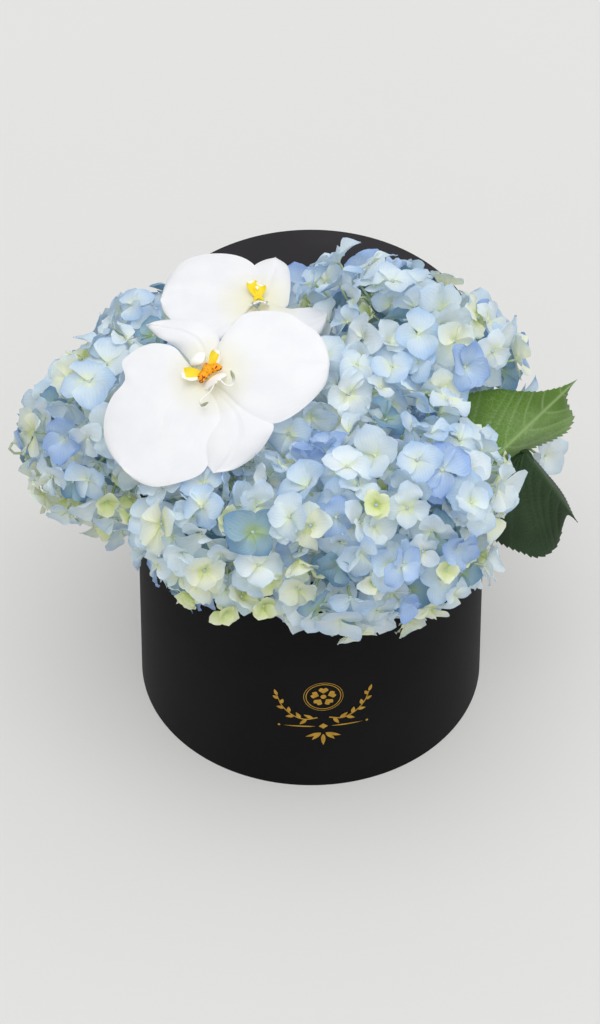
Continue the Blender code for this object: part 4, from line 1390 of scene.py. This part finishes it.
LEAF_ROWS, LEAF_COLUMNS = 211, 61
TEETH = {"upper": (30, 34), "lower": (34, 24)}  # along the right and the left margin
TOOTH_HEIGHT = {"upper": (0.0015, 0.0007), "lower": (0.0014, 0.0005)}
VEIN_RUN = {"upper": (2.4, 2.6), "lower": (1.5, 2.1)}  # along for each step across, left and right
VEIN_STEP = {"upper": 0.0145, "lower": 0.0105}
VEIN_BEND, BEND_PLACE = 0.7, 0.018  # side veins bend to the tip, with their run at this place aside
VEIN_WIDTH = 0.0006
LEAF_THICK = 0.0005
PETIOLE_POINTS = 40
FAN_STEP = math.radians(20)  # between the veins that fan out from the blade's foot


def leaf_points(name):
    """Grid of points of a leaf's blade, the strength of its veins, and the places across it."""
    root, towards, face, length, left, right, bending, _ = LEAVES[name]
    along = unit(towards)
    face = np.array(face)
    up = unit(face - along * face.dot(along))
    across = np.cross(up, along)
    u = np.linspace(0, 1, LEAF_ROWS)[:, None]
    v = np.linspace(-1, 1, LEAF_COLUMNS)[None, :]
    spine = np.concatenate([length * u, 0 * u], axis=1)
    margins = [smooth_curve(np.array(margin) / 1000, LEAF_ROWS) for margin in (right, left)]
    # Teeth point to the tip: each rises slowly and falls back at once.
    halves = []
    for margin, teeth, height in zip(margins, TEETH[name], TOOTH_HEIGHT[name]):
        run = np.concatenate([[0], np.cumsum(np.linalg.norm(np.diff(margin, axis=0), axis=1))])
        tooth = (run / run[-1] * teeth) % 1.0
        ends = np.clip(14 * u[:, 0] - 0.5, 0, 1) * np.clip(16 * (0.93 - u[:, 0]), 0, 1)
        bite = height * (tooth - 0.4) * ends
        edge = np.gradient(margin, axis=0)
        edge /= np.linalg.norm(edge, axis=1, keepdims=True)
        out = margin - spine
        square = out - edge * np.sum(out * edge, axis=1, keepdims=True)
        square /= np.linalg.norm(square, axis=1, keepdims=True) + 1e-9
        halves.append(out + bite[:, None] * (square + 0.5 * edge))
    share = np.abs(v)[..., None]
    on_left = (v > 0)[..., None]
    out = np.where(on_left, halves[1][:, None], halves[0][:, None])
    plain = share * np.where(on_left, (margins[1] - spine)[:, None], (margins[0] - spine)[:, None])
    flat = spine[:, None] + plain * (1 - share ** 24) + out * share ** 24
    # Side veins leave the midrib at a slant and run to the tip, and the lowest fan out from the foot.
    run = np.where(v > 0, VEIN_RUN[name][0], VEIN_RUN[name][1])
    ahead, aside = (spine[:, None] + plain)[..., 0], np.abs((spine[:, None] + plain)[..., 1])
    run = run * (aside / BEND_PLACE) ** VEIN_BEND
    foot = ahead - run * aside
    beyond = np.arctan2(aside, ahead) - np.arctan2(1, run)
    step = VEIN_STEP[name]
    spacing = np.where(foot > 0, foot / step, -beyond / FAN_STEP)
    room = np.where(foot > 0, step / np.hypot(1, run), FAN_STEP * np.hypot(ahead, aside))
    off_vein = np.abs(spacing - np.round(spacing)) * room
    veins = np.exp(-(off_vein / VEIN_WIDTH) ** 2) * np.clip(1.15 - 0.5 * np.abs(v), 0, 1)
    off_rib = np.linalg.norm(plain, axis=2)
    rib = np.exp(-(off_rib / (0.0012 - 0.0006 * u)) ** 2)
    tone = np.clip(np.maximum(veins * 0.65, rib), 0, 1)
    swell = np.abs(np.sin(math.pi * spacing)) * np.clip(off_rib / 0.006, 0, 1) * (1 - np.abs(v) ** 3)
    wave = v ** 2 * np.sin(math.tau * (2.4 * u + 0.15 * np.sign(v)))
    (left_foot, left_tip), (right_foot, right_tip) = bending
    bend = np.where(v > 0, left_foot + (left_tip - left_foot) * u, right_foot + (right_tip - right_foot) * u)
    lift = (0.0010 * swell + 0.0014 * wave - 0.0004 * rib + 0.003 * np.sin(math.pi * u)
            - bend * np.abs(v) ** 1.6)
    points = np.array(root) + flat[..., :1] * along + flat[..., 1:] * across + OUTWARD * lift[..., None]
    return points, tone, v + 0 * u


def make_leaf(name, materials):
    points, tone, side = leaf_points(name)
    blade, petiole = Pile(), Pile()
    add_sheet(blade, points, tone, side, OUTWARD, LEAF_THICK)
    # The petiole starts under the midrib, where it is thin, and leaves the blade at its foot.
    spine = points[:, LEAF_COLUMNS // 2]
    *_, way_down = LEAVES[name]
    route = [spine[30] - OUTWARD * 0.0016, spine[1] - OUTWARD * 0.0014, *way_down]
    radii = np.interp(np.linspace(0, 1, PETIOLE_POINTS), (0, 0.25, 1),
                      (0.0006, PETIOLE_RADIUS, PETIOLE_RADIUS))
    petiole.add(*tube(smooth_curve(route, PETIOLE_POINTS), radii, 10))
    pieces = [blade.to_object(f"leaf_{name}_blade", materials[f"leaf_{name}"]),
              petiole.to_object(f"leaf_{name}_petiole", materials[f"leaf_{name}"])]
    for piece in pieces:
        piece.data.set_sharp_from_angle(angle=math.radians(60))
        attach(piece, "root")
    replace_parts(pieces[0], f"leaf_{name}")
    return pieces


def main():
    bpy.context.scene.view_settings.view_transform = "Standard"
    make_camera()
    make_floor()
    make_light()
    materials = make_materials()
    make_box(materials["black_paper"])
    make_lid(materials["lid_paper_lit"])
    make_ornament(materials["foil"])
    for node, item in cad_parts.items():
        if "stem" in node or node == "foam":
            item.data.materials.clear()
            item.data.materials.append(materials["foam" if node == "foam" else "stem"])
    blooms = {name: make_bloom(name, materials) for name in BLOOMS}
    leaves = {name: make_leaf(name, materials) for name in LEAVES}
    limbs = surface_tree([piece for group in (*blooms.values(), *leaves.values()) for piece in group])
    shields = [surface_tree(pieces[:1]) for pieces in blooms.values()]
    shields += [surface_tree(leaves[name][:1], shown) for name, shown in LEAF_SHOWN.items()]
    grow_heads(limbs, shields, materials)


main()
